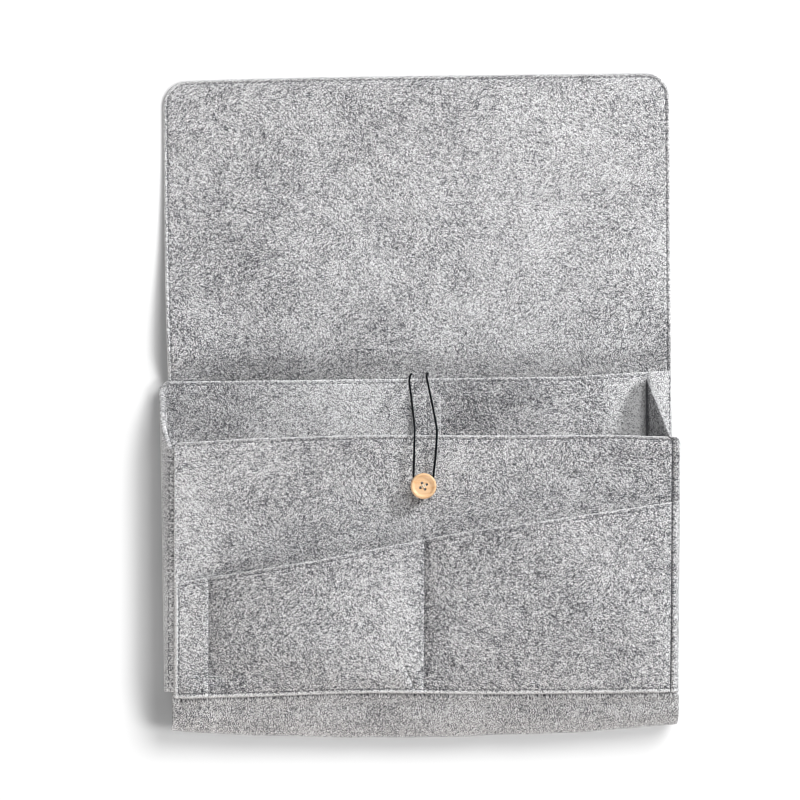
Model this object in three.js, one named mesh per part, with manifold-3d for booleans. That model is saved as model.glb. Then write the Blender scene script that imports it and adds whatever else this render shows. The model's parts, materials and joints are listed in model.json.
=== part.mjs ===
// Felt sofa organizer, lying on its back with its flap laid out flat.
// A long felt sheet carries a boxed pocket: a back wall, two side gussets, a bottom gusset and a
// front panel with a pleated pair of small pockets. An elastic loop from the back sheet hooks
// round a wooden button on the front panel. The flap goes under a seat cushion or over an armrest.
// Millimetres. +X is to the right as seen from the front, +Y towards the flap, +Z out of the front.
// The sizes below are counted from the middle of the sheet's lower edge.

import * as THREE from 'three';
import { mergeVertices } from 'three/addons/utils/BufferGeometryUtils.js';
import Module from 'manifold-3d';

const wasm = await Module();
wasm.setup();

// Felt and clearances
const bodyFelt = 3;
const pocketFelt = 1.6;
const plyGap = 0.3;

// Back sheet and flap
const sheetWidth = 336;
const sheetCorner = 4;
const foldHeight = 222;
const foldTurn = 125;
const flapLength = 188;
const flapCorner = 16;
const flapLift = 4.5;
const flapCrest = 16;
const flapSettle = 120;

// Pocket box
const wallHeight = 210.5;
const wallInset = 5;
const frontWidth = sheetWidth;
const frontHeight = 169.5;
const frontShift = 5;
const frontCorner = 2;
const pocketDepth = 38;
const seamLap = 4.5;

// Left gusset, which stands up and leans in to the front panel
const leftOverhang = 2;
const cornerBend = 3.5;
const leftStand = 8;
const leftLean = 72;
const leftLeanBend = 40;
const lapBend = 4;

// Right gusset, which is pushed in to a crease beside the back wall
const rightOverhang = 0.6;
const foldBend = 2.2;
const creaseReach = 15.5;
const creaseBend = 3;
const rightLean = 68;

// Bottom gusset, which bows out below the front panel
const bottomBowMiddle = 26.5;
const bottomBowEnds = 19.5;
const bottomRoundMiddle = 1.75;
const bottomRoundEnds = 2.4;
const bottomEndInset = 1;

// Strip sewn on the back wall behind the loop
const stripLeft = -3.9;
const stripRight = 15;
const stripFoot = 100;
const stripTop = 199.5;

// Pleated front pocket
const pocketInset = 0.8;
const pocketLeftHeight = 77;
const pocketRightHeight = 126.5;
const firstFoldFromLeft = 23;
const secondFoldFromLeft = 166.3;
const pleatDepth = 6;
const foldGap = 0.3;
const firstClimb = 32;
const firstClimbBend = 2.5;
const firstLevel = 2.8;
const secondClimb = 6;
const secondClimbBend = 60;
const secondLevel = 0;
const leftPocketSwell = 9;
const rightPocketSwell = 10;
const swellShare = 0.45;

// Button, its thread and the elastic loop
const buttonX = 3.1;
const buttonY = 139.2;
const buttonDiameter = 18;
const buttonThickness = 4;
const buttonRim = 2.6;
const buttonDish = 0.9;
const buttonLift = 2.8;
const buttonTurn = 19;
const threadHoleSpacing = 3.2;
const threadHoleDiameter = 1.8;
const threadStrand = 0.7;
const threadClearance = 0.12;
const shankDiameter = 2.8;
const shankTop = 6.2;
const threadKnot = 5.2;
const threadKnotHeight = 1.2;
const cordDiameter = 2;
const cordHoleY = 213.6;
const cordHoleLeftX = -3.9;
const cordHoleRightX = 7;

// Facets
const boltSides = 24;
const cordSides = 8;
const cordSteps = 80;
const bendStep = 15;

// Heights of the plies
const wallMiddle = bodyFelt + plyGap + bodyFelt / 2;
const wallTop = wallMiddle + bodyFelt / 2;
const frontUnder = wallTop + pocketDepth;
const frontTop = frontUnder + bodyFelt;
const lapMiddle = frontUnder - plyGap - bodyFelt / 2;
const frontLeft = frontShift - frontWidth / 2;
const frontRight = frontShift + frontWidth / 2;
const wallHalf = sheetWidth / 2 - wallInset;
const gussetFoot = seamLap + plyGap;

const felt = new THREE.MeshStandardMaterial({ color: '#aeaeb0', roughness: 0.96, metalness: 0 });
const wood = new THREE.MeshStandardMaterial({ color: '#e6bd8c', roughness: 0.6, metalness: 0 });
const thread = new THREE.MeshStandardMaterial({ color: '#e9dfca', roughness: 0.85, metalness: 0 });
const elastic = new THREE.MeshStandardMaterial({ color: '#22252e', roughness: 0.8, metalness: 0 });

const organizer = new THREE.Group();

// Joining and cutting closed meshes

function toSolid(geometry) {
  const bare = geometry.clone();
  bare.deleteAttribute('normal');
  bare.deleteAttribute('uv');
  const merged = mergeVertices(bare, 1e-5);
  return new wasm.Manifold(new wasm.Mesh({
    numProp: 3,
    vertProperties: new Float32Array(merged.attributes.position.array),
    triVerts: new Uint32Array(merged.index.array),
  }));
}

function toGeometry(solid) {
  const mesh = solid.getMesh();
  const geometry = new THREE.BufferGeometry();
  geometry.setAttribute('position', new THREE.BufferAttribute(mesh.vertProperties, 3));
  geometry.setIndex(new THREE.BufferAttribute(mesh.triVerts, 1));
  return geometry;
}

function cut(body, ...tools) {
  return toGeometry(tools.reduce((solid, tool) => solid.subtract(toSolid(tool)), toSolid(body)));
}

function overlap(body, other) {
  return toGeometry(toSolid(body).intersect(toSolid(other)));
}

function join(...bodies) {
  return toGeometry(bodies.map(toSolid).reduce((solid, body) => solid.add(body)));
}

// Basic forms

function addPart(name, geometry, material) {
  const mesh = new THREE.Mesh(geometry, material);
  mesh.name = name;
  organizer.add(mesh);
}

// A flat ply cut to a rectangle, with one radius at its two lower and one at its two upper corners
function ply(left, right, bottom, top, underside, thickness, lowerRadius, upperRadius) {
  const outline = new THREE.Shape();
  outline.moveTo(left + lowerRadius, bottom);
  outline.lineTo(right - lowerRadius, bottom);
  outline.absarc(right - lowerRadius, bottom + lowerRadius, lowerRadius, -Math.PI / 2, 0);
  outline.lineTo(right, top - upperRadius);
  outline.absarc(right - upperRadius, top - upperRadius, upperRadius, 0, Math.PI / 2);
  outline.lineTo(left + upperRadius, top);
  outline.absarc(left + upperRadius, top - upperRadius, upperRadius, Math.PI / 2, Math.PI);
  outline.lineTo(left, bottom + lowerRadius);
  outline.absarc(left + lowerRadius, bottom + lowerRadius, lowerRadius, Math.PI, Math.PI * 1.5);
  const sheet = new THREE.ExtrudeGeometry(outline, { depth: thickness, bevelEnabled: false });
  return sheet.translate(0, 0, underside);
}

// A round bar along Z
function bar(x, y, bottom, top, diameter, sides = boltSides) {
  const geometry = new THREE.CylinderGeometry(diameter / 2, diameter / 2, top - bottom, sides);
  return geometry.rotateX(Math.PI / 2).translate(x, y, (bottom + top) / 2);
}

// The line that a strip of felt follows in section, drawn as runs and bends from a point and a
// heading in degrees. Positive bends turn to the left.
class SectionLine {
  constructor(x, z, heading) {
    this.points = [new THREE.Vector2(x, z)];
    this.lengths = [0];
    this.heading = heading;
  }

  get end() {
    return this.points.at(-1);
  }

  get length() {
    return this.lengths.at(-1);
  }

  step(distance, degrees) {
    const angle = THREE.MathUtils.degToRad(degrees);
    const move = new THREE.Vector2(Math.cos(angle), Math.sin(angle)).multiplyScalar(distance);
    this.points.push(this.end.clone().add(move));
    this.lengths.push(this.length + distance);
  }

  run(distance, steps = 1) {
    for (let i = 0; i < steps; i += 1) {
      this.step(distance / steps, this.heading);
    }
    return this;
  }

  runToX(x, steps = 1) {
    return this.run(Math.abs(x - this.end.x), steps);
  }

  bend(radius, degrees) {
    const steps = Math.max(2, Math.ceil(Math.abs(degrees) / bendStep));
    const turn = degrees / steps;
    const chord = 2 * radius * Math.sin(THREE.MathUtils.degToRad(Math.abs(turn)) / 2);
    for (let i = 0; i < steps; i += 1) {
      this.step(chord, this.heading + turn / 2);
      this.heading += turn;
    }
    return this;
  }
}

// How far a bend from one heading to another rises
function bendRise(radius, from, to) {
  const cosine = (degrees) => Math.cos(THREE.MathUtils.degToRad(degrees));
  return radius * Math.abs(cosine(from) - cosine(to));
}

// A closed sheet: a grid of points on its middle surface, thickened by half the felt to each side
function feltSheet(grid, thickness) {
  const across = grid.length;
  const along = grid[0].length;
  const positions = [];
  const faces = [];
  const difference = (a, b) => new THREE.Vector3().subVectors(a, b);
  for (const side of [0.5, -0.5]) {
    grid.forEach((line, i) => line.forEach((point, j) => {
      const forward = difference(grid[Math.min(i + 1, across - 1)][j], grid[Math.max(i - 1, 0)][j]);
      const sideways = difference(line[Math.min(j + 1, along - 1)], line[Math.max(j - 1, 0)]);
      const normal = forward.cross(sideways).normalize();
      positions.push(...point.clone().addScaledVector(normal, side * thickness).toArray());
    }));
  }
  const upper = (i, j) => i * along + j;
  const lower = (i, j) => (across + i) * along + j;
  const quad = (a, b, c, d) => faces.push(a, b, c, a, c, d);
  for (let i = 0; i < across - 1; i += 1) {
    for (let j = 0; j < along - 1; j += 1) {
      quad(upper(i, j), upper(i + 1, j), upper(i + 1, j + 1), upper(i, j + 1));
      quad(lower(i, j), lower(i, j + 1), lower(i + 1, j + 1), lower(i + 1, j));
    }
    const last = along - 1;
    quad(upper(i + 1, 0), upper(i, 0), lower(i, 0), lower(i + 1, 0));
    quad(upper(i, last), upper(i + 1, last), lower(i + 1, last), lower(i, last));
  }
  for (let j = 0; j < along - 1; j += 1) {
    const last = across - 1;
    quad(upper(0, j), upper(0, j + 1), lower(0, j + 1), lower(0, j));
    quad(upper(last, j + 1), upper(last, j), lower(last, j), lower(last, j + 1));
  }
  const geometry = new THREE.BufferGeometry();
  geometry.setAttribute('position', new THREE.Float32BufferAttribute(positions, 3));
  geometry.setIndex(faces);
  return geometry;
}

// A side gusset: a section line carried along Y, cut level as far as the crease and from there on
// a straight slant down to the front panel's height
function sideGusset(line, creaseAt, slantEnd) {
  const grid = line.points.map((point, i) => {
    const share = THREE.MathUtils.clamp((line.lengths[i] - creaseAt) / (slantEnd - creaseAt), 0, 1);
    const top = THREE.MathUtils.lerp(wallHeight, frontHeight, share);
    return [gussetFoot, top].map((y) => new THREE.Vector3(point.x, y, point.y));
  });
  return feltSheet(grid, bodyFelt);
}

// Back sheet, with the two holes of the elastic loop. Its edge beside the fold is bevelled from both
// faces, just clear of where the flap lies when it is turned right up or right down.
function backPanel() {
  const top = foldHeight - bodyFelt / 2 - plyGap;
  const sheet = ply(-sheetWidth / 2, sheetWidth / 2, 0, top, 0, bodyFelt, sheetCorner, 0);
  const holes = [cordHoleLeftX, cordHoleRightX].map(
    (x) => bar(x, cordHoleY, -bodyFelt, 2 * bodyFelt, cordDiameter + 2 * plyGap),
  );
  const bevels = [foldTurn, -foldTurn].map((degrees) => {
    const reach = 3 * bodyFelt;
    const turned = new THREE.BoxGeometry(2 * sheetWidth, reach, bodyFelt + 2 * plyGap);
    turned.translate(0, reach / 2, 0).rotateX(THREE.MathUtils.degToRad(degrees));
    return turned.translate(0, foldHeight, bodyFelt / 2);
  });
  return cut(sheet, ...holes, ...bevels);
}

// Flap, with the round inside edge that turns in the fold. The stiff felt springs up beside the fold
// in a low ridge and settles to the surface that it lies on.
function flap() {
  const ridgeSteps = 18;
  const top = foldHeight + flapLength;
  const lift = (reach) => {
    const climbed = THREE.MathUtils.smoothstep(reach, 0, flapCrest);
    return flapLift * climbed * (1 - THREE.MathUtils.smoothstep(reach, flapCrest, flapSettle));
  };
  const underside = Array.from({ length: ridgeSteps + 1 }, (_, i) => {
    const reach = flapSettle * (i / ridgeSteps) ** 1.6;
    return new THREE.Vector2(foldHeight + reach, lift(reach));
  });
  underside.push(new THREE.Vector2(top, 0));
  const upperSide = underside.map((point) => new THREE.Vector2(point.x, point.y + bodyFelt));
  const profile = new THREE.Shape([...underside, ...upperSide.reverse()]);
  const ridged = new THREE.ExtrudeGeometry(profile, { depth: sheetWidth, bevelEnabled: false });
  const along = [[0, 1, 0], [0, 0, 1], [1, 0, 0]].map((axis) => new THREE.Vector3(...axis));
  ridged.applyMatrix4(new THREE.Matrix4().makeBasis(...along)).translate(-sheetWidth / 2, 0, 0);
  const depth = flapLift + 3 * bodyFelt;
  const outline = ply(-sheetWidth / 2, sheetWidth / 2, foldHeight, top, -bodyFelt, depth, 0, flapCorner);
  const edge = new THREE.CylinderGeometry(bodyFelt / 2, bodyFelt / 2, sheetWidth, boltSides);
  edge.rotateZ(Math.PI / 2).translate(0, foldHeight, bodyFelt / 2);
  return join(overlap(ridged, outline), edge);
}

function leftGusset() {
  const wallX = sheetWidth / 2 + leftOverhang - bodyFelt / 2;
  const line = new SectionLine(-wallHalf - plyGap, wallMiddle, 180);
  line.runToX(-wallX + cornerBend).bend(cornerBend, -90).run(leftStand);
  const creaseAt = line.length;
  line.bend(leftLeanBend, leftLean - 90);
  const rise = lapMiddle - line.end.y - bendRise(lapBend, leftLean, 0);
  line.run(rise / Math.sin(THREE.MathUtils.degToRad(leftLean)), 2).bend(lapBend, -leftLean);
  const slantEnd = line.length;
  line.runToX(frontLeft + seamLap + lapBend);
  return sideGusset(line, creaseAt, slantEnd);
}

function rightGusset() {
  const foldX = sheetWidth / 2 + rightOverhang - bodyFelt / 2 - foldBend;
  const creaseX = sheetWidth / 2 - creaseReach + bodyFelt / 2;
  const line = new SectionLine(wallHalf + plyGap, wallMiddle, 0);
  line.runToX(foldX).bend(foldBend, 180).runToX(creaseX + creaseBend);
  const creaseAt = line.length;
  line.bend(creaseBend, rightLean - 180);
  const rise = lapMiddle - line.end.y - bendRise(lapBend, rightLean, 0);
  line.run(rise / Math.sin(THREE.MathUtils.degToRad(rightLean)), 2).bend(lapBend, -rightLean);
  const slantEnd = line.length;
  line.runToX(frontRight);
  return sideGusset(line, creaseAt, slantEnd);
}

// Bottom gusset: a section that bows out on a superellipse between two flat laps. The bow is
// deepest in the middle of the strip, and its upper half moves over to the front panel.
function bottomGusset() {
  const sectionSteps = 20;
  const lengthSteps = 16;
  const halfHeight = (lapMiddle - wallMiddle) / 2;
  const halfLength = frontWidth / 2 - bottomEndInset;
  const power = (value, exponent) => Math.sign(value) * Math.abs(value) ** exponent;
  const station = (share) => {
    const middle = 1 - (2 * share - 1) ** 2;
    const bow = THREE.MathUtils.lerp(bottomBowEnds, bottomBowMiddle, middle);
    const exponent = 2 / THREE.MathUtils.lerp(bottomRoundEnds, bottomRoundMiddle, middle);
    const point = (y, z, over) => new THREE.Vector3(
      over * frontShift + (2 * share - 1) * halfLength, y, z,
    );
    const bowed = Array.from({ length: sectionSteps + 1 }, (_, i) => {
      const angle = Math.PI * (i / sectionSteps - 0.5);
      const z = wallMiddle + halfHeight * (1 + power(Math.sin(angle), exponent));
      const over = THREE.MathUtils.smoothstep(z, (wallMiddle + lapMiddle) / 2, lapMiddle);
      return point(-bow * power(Math.cos(angle), exponent), z, (1 + over) / 2);
    });
    return [point(seamLap, wallMiddle, 0.5), ...bowed, point(seamLap, lapMiddle, 1)];
  };
  const stations = Array.from({ length: lengthSteps + 1 }, (_, j) => station(j / lengthSteps));
  const grid = stations[0].map((_, i) => stations.map((line) => line[i]));
  return feltSheet(grid, bodyFelt);
}

function frontPanel() {
  const sheet = ply(
    frontLeft, frontRight, 0, frontHeight, frontUnder, bodyFelt, frontCorner, frontCorner,
  );
  return cut(sheet, bar(buttonX, buttonY, 0, frontTop + bodyFelt, shankDiameter + 2 * plyGap));
}

// Pleated pocket: one felt piece with two knife pleats. The section lies in plies a fold apart,
// and above the bottom seam each pocket's face swells away from the front panel between its ends.
function pleatedPocket() {
  const pitch = pocketFelt + foldGap;
  const left = frontLeft + pocketInset;
  const right = frontRight - pocketInset;
  const line = new SectionLine(left, frontTop + plyGap + pocketFelt / 2, 0);

  // Climbs two plies, lies level, then folds back under itself and forward again at the fold's place
  const pleat = (foldX, climb, climbBend, level, leadSteps) => {
    const sine = Math.sin(THREE.MathUtils.degToRad(climb));
    const cosine = Math.cos(THREE.MathUtils.degToRad(climb));
    const slope = (2 * pitch - 2 * bendRise(climbBend, 0, climb)) / sine;
    const climbReach = slope * cosine + 2 * climbBend * sine;
    const foldStart = foldX - pocketFelt / 2 - pitch / 2;
    line.runToX(foldStart - pleatDepth - pitch / 2 - level - climbReach, leadSteps);
    line.bend(climbBend, climb).run(slope, leadSteps).bend(climbBend, -climb).runToX(foldStart, 2);
    const fold = line.length;
    line.bend(pitch / 2, -180).run(pleatDepth, 2).bend(pitch / 2, 180);
    return { fold, face: line.length };
  };
  const firstFold = frontLeft + firstFoldFromLeft;
  const secondFold = frontLeft + secondFoldFromLeft;
  const first = pleat(firstFold, firstClimb, firstClimbBend, firstLevel, 1);
  const second = pleat(secondFold, secondClimb, secondClimbBend, secondLevel, 8);
  line.runToX(right, 16);

  // A face opens from one end as 1 - (1 - t)^3 and closes to the other as 1 - t^closing
  const face = (length, from, to, height, closing) => {
    const along = THREE.MathUtils.clamp((length - from) / (to - from), 0, 1);
    return height * (1 - (1 - along) ** 3) * (1 - along ** closing);
  };
  const fullest = 0.77;
  const swell = (length) => (
    face(length, first.face, second.fold, leftPocketSwell, 3)
    + face(length, second.face, line.length, rightPocketSwell, 4)
  ) / fullest;
  const heights = [0, 0.04, 0.1, 0.18, 0.28, 0.45, 1];
  const slant = (pocketRightHeight - pocketLeftHeight) / frontWidth;
  const grid = line.points.map((point, i) => heights.map((height) => {
    const top = pocketLeftHeight + slant * (point.x - frontLeft);
    const lift = Math.sin((Math.PI / 2) * Math.min(1, height / swellShare));
    const y = THREE.MathUtils.lerp(pocketInset, top, height);
    return new THREE.Vector3(point.x, y, point.y + swell(line.lengths[i]) * lift);
  }));
  return feltSheet(grid, pocketFelt);
}

// The middles of the four thread holes, or of the strands in them, turned with the button
function threadRing(radius) {
  return [45, 135, 225, 315].map((degrees) => {
    const angle = THREE.MathUtils.degToRad(degrees - buttonTurn);
    return new THREE.Vector2(buttonX + radius * Math.cos(angle), buttonY + radius * Math.sin(angle));
  });
}

// Turned wooden button: a dished face inside a round rim, with four thread holes
function button() {
  const radius = buttonDiameter / 2;
  const underside = frontTop + buttonLift;
  const edge = buttonThickness / 2;
  const rimInner = radius - buttonRim;
  const outline = new THREE.Path();
  outline.moveTo(0, 0);
  outline.lineTo(radius - edge, 0);
  outline.quadraticCurveTo(radius, 0, radius, edge);
  outline.quadraticCurveTo(radius, buttonThickness, radius - buttonRim / 2, buttonThickness);
  outline.quadraticCurveTo(rimInner, buttonThickness, rimInner - buttonDish, buttonThickness - buttonDish);
  outline.lineTo(0, buttonThickness - buttonDish);
  const blank = new THREE.LatheGeometry(outline.getPoints(4), 2 * boltSides);
  blank.rotateX(Math.PI / 2).translate(buttonX, buttonY, underside);
  const drill = threadRing(threadHoleSpacing / Math.SQRT2).map(
    (hole) => bar(hole.x, hole.y, 0, underside + 2 * buttonThickness, threadHoleDiameter, boltSides / 2),
  );
  return cut(blank, ...drill);
}

// Button thread: a knot inside the pocket, a wound shank that widens under the button, four strands
// up through the holes and two that cross on its face
function buttonThread() {
  const underside = frontTop + buttonLift - plyGap;
  const face = frontTop + buttonLift + buttonThickness - buttonDish;
  const crossing = face + threadClearance + threadStrand / 2;
  const knotTop = frontUnder - plyGap;
  const outline = [
    [0, knotTop - threadKnotHeight],
    [threadKnot / 2, knotTop - threadKnotHeight],
    [threadKnot / 2, knotTop],
    [shankDiameter / 2, knotTop],
    [shankDiameter / 2, frontTop],
    [shankTop / 2, underside],
    [0, underside],
  ].map(([radius, height]) => new THREE.Vector2(radius, height));
  const shank = new THREE.LatheGeometry(outline, boltSides);
  shank.rotateX(Math.PI / 2).translate(buttonX, buttonY, 0);
  const pulledIn = (threadHoleDiameter - threadStrand) / 2 - threadClearance;
  const ring = threadRing(threadHoleSpacing / Math.SQRT2 - pulledIn);
  const strands = ring.map(
    (strand) => bar(strand.x, strand.y, underside - plyGap, crossing, threadStrand, cordSides),
  );
  const crossings = [0, 1].map((i) => {
    const span = new THREE.LineCurve3(
      new THREE.Vector3(ring[i].x, ring[i].y, crossing),
      new THREE.Vector3(ring[i + 2].x, ring[i + 2].y, crossing),
    );
    return tube(span, threadStrand, 1);
  });
  return join(shank, ...strands, ...crossings);
}

// A round bar along a curve
function tube(curve, diameter, steps) {
  const angles = Array.from({ length: cordSides }, (_, i) => (2 * Math.PI * i) / cordSides);
  const ring = angles.map(
    (angle) => new THREE.Vector2(Math.cos(angle), Math.sin(angle)).multiplyScalar(diameter / 2),
  );
  return new THREE.ExtrudeGeometry(new THREE.Shape(ring), { steps, extrudePath: curve });
}

// Elastic loop: up out of one hole, over the front panel's top edge, under the button round its
// shank and back. Its two ends are sewn off flush with the rear of the back sheet.
function elasticLoop() {
  const route = [
    [-3.9, 213.6, 0.4],
    [-3.9, 213.6, 2.4],
    [-4.1, 213.5, 5],
    [-4.8, 212.4, 7.8],
    [-5.4, 209.5, 10.6],
    [-4.1, 196.3, 23.5],
    [-2.9, 182.3, 37.2],
    [-2.4, 174, 45.3],
    [-2.4, 171.6, 47.6],
    [-2.5, 168.8, 48.8],
    [-2.7, 164, 48.8],
    [-3.1, 154, 48.6],
    [-3.4, 145, 48.6],
    [-3.4, 139.2, 48.6],
    [-1.5, 134.6, 48.6],
    [3.1, 132.7, 48.6],
    [7.7, 134.6, 48.6],
    [9.6, 139.2, 48.6],
    [9.8, 146.4, 48.6],
    [10.9, 155, 48.6],
    [11.8, 164, 48.8],
    [12.3, 168.8, 48.8],
    [12.4, 171.6, 47.6],
    [12.3, 174, 45.3],
    [10.7, 186, 33.6],
    [8.8, 198.9, 21],
    [7.3, 209.5, 10.6],
    [7.1, 212.4, 7.8],
    [7, 213.5, 5],
    [7, 213.6, 2.4],
    [7, 213.6, 0.4],
  ].map((point) => new THREE.Vector3(...point));
  return tube(new THREE.CatmullRomCurve3(route), cordDiameter, cordSteps);
}

addPart('back_panel', backPanel(), felt);
addPart('flap', flap(), felt);
addPart('pocket_back_wall', ply(
  -wallHalf, wallHalf, gussetFoot, wallHeight, bodyFelt + plyGap, bodyFelt, 0, 0,
), felt);
addPart('inner_strip', ply(
  stripLeft, stripRight, stripFoot, stripTop, wallTop + plyGap, pocketFelt, 0, 0,
), felt);
addPart('left_gusset', leftGusset(), felt);
addPart('right_gusset', rightGusset(), felt);
addPart('bottom_gusset', bottomGusset(), felt);
addPart('front_panel', frontPanel(), felt);
addPart('pleated_pocket', pleatedPocket(), felt);
addPart('button', button(), wood);
addPart('button_thread', buttonThread(), thread);
addPart('elastic_loop', elasticLoop(), elastic);

// The origin is under the middle of the whole object, on the surface that it lies on
const box = new THREE.Box3().setFromObject(organizer);
const middle = box.getCenter(new THREE.Vector3());
organizer.position.set(-middle.x, -middle.y, -box.min.z);

export default organizer;
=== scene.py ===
"""Felt sofa organizer: felt sheets, topstitching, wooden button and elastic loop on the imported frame.

Shapes are worked out in millimetres from the middle of the back sheet's lower edge, with +X to the
right, +Y towards the flap and +Z out of the pocket's front, and are moved to the part's frame last.
"""

import json
import math

import bpy
import numpy as np
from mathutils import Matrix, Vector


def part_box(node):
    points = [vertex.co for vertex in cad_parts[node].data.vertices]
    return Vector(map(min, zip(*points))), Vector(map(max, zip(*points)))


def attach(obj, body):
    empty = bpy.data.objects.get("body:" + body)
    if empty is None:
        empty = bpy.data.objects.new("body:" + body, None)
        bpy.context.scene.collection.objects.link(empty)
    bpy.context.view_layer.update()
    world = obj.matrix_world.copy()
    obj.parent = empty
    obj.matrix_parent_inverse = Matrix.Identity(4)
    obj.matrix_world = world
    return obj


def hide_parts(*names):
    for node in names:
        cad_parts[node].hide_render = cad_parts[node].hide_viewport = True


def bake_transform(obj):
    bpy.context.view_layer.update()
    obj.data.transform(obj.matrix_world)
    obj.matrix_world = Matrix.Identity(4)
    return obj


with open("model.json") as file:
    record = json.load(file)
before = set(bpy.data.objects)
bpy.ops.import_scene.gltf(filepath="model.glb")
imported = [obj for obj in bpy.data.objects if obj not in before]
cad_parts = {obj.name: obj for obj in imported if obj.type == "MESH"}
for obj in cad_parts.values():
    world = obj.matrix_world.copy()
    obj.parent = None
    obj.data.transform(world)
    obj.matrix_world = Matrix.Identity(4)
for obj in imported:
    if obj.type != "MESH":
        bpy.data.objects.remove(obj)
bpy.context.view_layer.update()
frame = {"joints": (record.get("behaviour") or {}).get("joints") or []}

bl_info = {
    "name": "Felt Sofa Organizer",
    "version": (1, 0, 0),
    "blender": (4, 5, 0),
    "location": "View3D > Sidebar > Organizer",
    "description": "Builds the felt, stitches, button and elastic of a sofa organizer on its frame",
    "category": "Object",
}

MM = 0.001
BACK = "back"
FRONT = "pocket_front"
BUTTON = "button"
FELT_SLOT = "grey_felt"

# Where the frame's pieces lie, in millimetres from the middle of the back sheet's lower edge
_low, _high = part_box("back_panel")
ORIGIN = np.array([(_low.x + _high.x) / 2, _low.y, 0.0])


def node_box(node):
    """A frame node's lowest and highest corners in millimetres."""
    return [(np.array(corner) - ORIGIN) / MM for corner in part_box(node)]


BACK_LOW, BACK_HIGH = node_box("back_panel")
FLAP_HIGH = node_box("flap")[1]
WALL_LOW, WALL_HIGH = node_box("pocket_back_wall")
STRIP_LOW, STRIP_HIGH = node_box("inner_strip")
PANEL_LOW, PANEL_HIGH = node_box("front_panel")
LEFT_LOW, LEFT_HIGH = node_box("left_gusset")
RIGHT_HIGH = node_box("right_gusset")[1]
BOTTOM_HIGH = node_box("bottom_gusset")[1]
BUTTON_LOW, BUTTON_HIGH = node_box("button")
FOLD = (np.array(next(j for j in frame["joints"] if j["name"] == "flap_fold")["pos_m"]) - ORIGIN) / MM

# Plies of the frame
FELT = BACK_HIGH[2] - BACK_LOW[2]
POCKET_FELT = STRIP_HIGH[2] - STRIP_LOW[2]
PLY_GAP = WALL_LOW[2] - BACK_HIGH[2]
WALL_MIDDLE = (WALL_LOW[2] + WALL_HIGH[2]) / 2
LAP_MIDDLE = PANEL_LOW[2] - PLY_GAP - FELT / 2

# Back sheet: half its width, and the radii of its lower and upper corners
SHEET_HALF = BACK_HIGH[0]
SHEET_CORNER = 4.0
FLAP_CORNER = 16.0

# Flap past the fold: start, bend and crest of its climb, where its left and right sides lie flat again, and
# the share by which the left one is higher; seed, shortest and longest of its waves, and their fade at the
# end
FLAP_CLIMB = (-12.5, 1.5, 9.0)
FLAP_SETTLE = (150.0, 110.0)
FLAP_TILT = 0.3
FLAP_WAVES = (3, 60, 240)
FLAP_WAVE_FADE = 60

# Lift at the fold's left end: its height, its reach from the side, and the heights on the sheet where it
# starts, is full, starts to fall and is gone
CORNER_LIFT = 7.0
CORNER_REACH = (27.0, 175.0, 213.0, 225.0, 310.0)

# The sheet isn't cut quite square: how far its free edge lies over, its upper right corner lies out and up,
# its lower left corner lies in, its free edge bows, and its left side lies in at the fold, with the reach
# of that
EDGE_OVER = 1.2
CORNER_OUT = (0.8, 2.0)
FOOT_IN = 3.5
EDGE_BOW = 7.4
FOLD_IN = (1.0, 40.0)

# Left gusset: where it stands, its lean in degrees, its bends, how far its foot lies in, how far below the
# front's edge it ends, and the round end of the wall's top edge
LEFT_OUT = 2.0
LEFT_STAND = 13.0
LEFT_LEAN = 70.0
LEFT_LEAN_BEND = 40.0
CORNER_BEND = 3.5
LAP_BEND = 4.0
LEFT_TAPER = 3.4
LAP_DROP = 3.0
WALL_ROUND = 5.0

# Right gusset: bend and place of its fold, rise of the tuck in degrees, bend and place of the crease, and
# lean of the leaf that stands up from it
FOLD_BEND = 2.2
FOLD_OUT = 0.6
TUCK_RISE = 24.0
CREASE_BEND = 3.0
CREASE_X = 152.6
RIGHT_LEAN = 60.0

# Back wall: rise of its top edge's right end, with its start and width; both ends and share of each arch
# beside the loop; the height where the arches start and how far on they are full; and how flat its line in
# section is
WALL_END_RISE = (3.0, 90.0, 78.0)
WALL_ARCHES = ((-163.0, -8.0, 1.0), (18.0, 150.0, 0.9))
ARCH_RISE = (50, 130)
WALL_FLAT = 0.01

# How far to each side of its middle the wall carries the strip
STRIP_BED = 40

# Wall and gussets: pinch of a cut edge and its reach; shares of painted highlight at cut edges and of
# painted shade in grooves, on the right gusset, the left gusset and the wall; painted light on the left
# gusset, which stands in shade, and on the right gusset's tuck, which faces the lamps, and painted shade on
# the leaf, which faces away from them; painted shade as a dark line in the crease, by strength, place and
# width; and how far the pattern is drawn out
CUT_PINCH = 0.45
CUT_REACH = 2.5
RIGHT_PAINTED_EDGES = 0.7
LEFT_PAINTED_EDGES = 0.25
WALL_PAINTED_EDGES = 0.6
LEFT_PAINTED_LIGHT = 0.06
TUCK_PAINTED_LIGHT = 0.08
LEAF_PAINTED_SHADE = -0.25
CREASE_PAINTED_SHADE = -0.9
CREASE_SHADE_LINE = (5.0, 2.1)
LEFT_DRAWN = 1.6
FOLD_DRAWN = 0.6

# Bottom gusset: inset of its ends, columns and rows, the columns close to its ends, and the edge and rows
# of its laps; bow and roundness at the ends and in the middle; swell of its upper side by height, place and
# reach; height of its waves, with their seed, shortest and longest; how far its ends lie out; and how far
# it is drawn
BOTTOM_INSET = 1
BOTTOM_LINES = (121, 81)
BOTTOM_ENDS = np.array([-1.0, -0.9995, -0.998, -0.995])
BOTTOM_LAP = (0.6, 5)
BOTTOM_BOW = (19.5, 26.5)
BOTTOM_ROUND = (2.4, 1.75)
BOTTOM_FULL = (3.4, -0.5, 2.6)
BOTTOM_WAVE = 0.35
BOTTOM_WAVES = (5, 30, 120)
BOTTOM_SPREAD = (1.2, 1.4)
BOTTOM_DRAWN = 1.45

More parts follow.
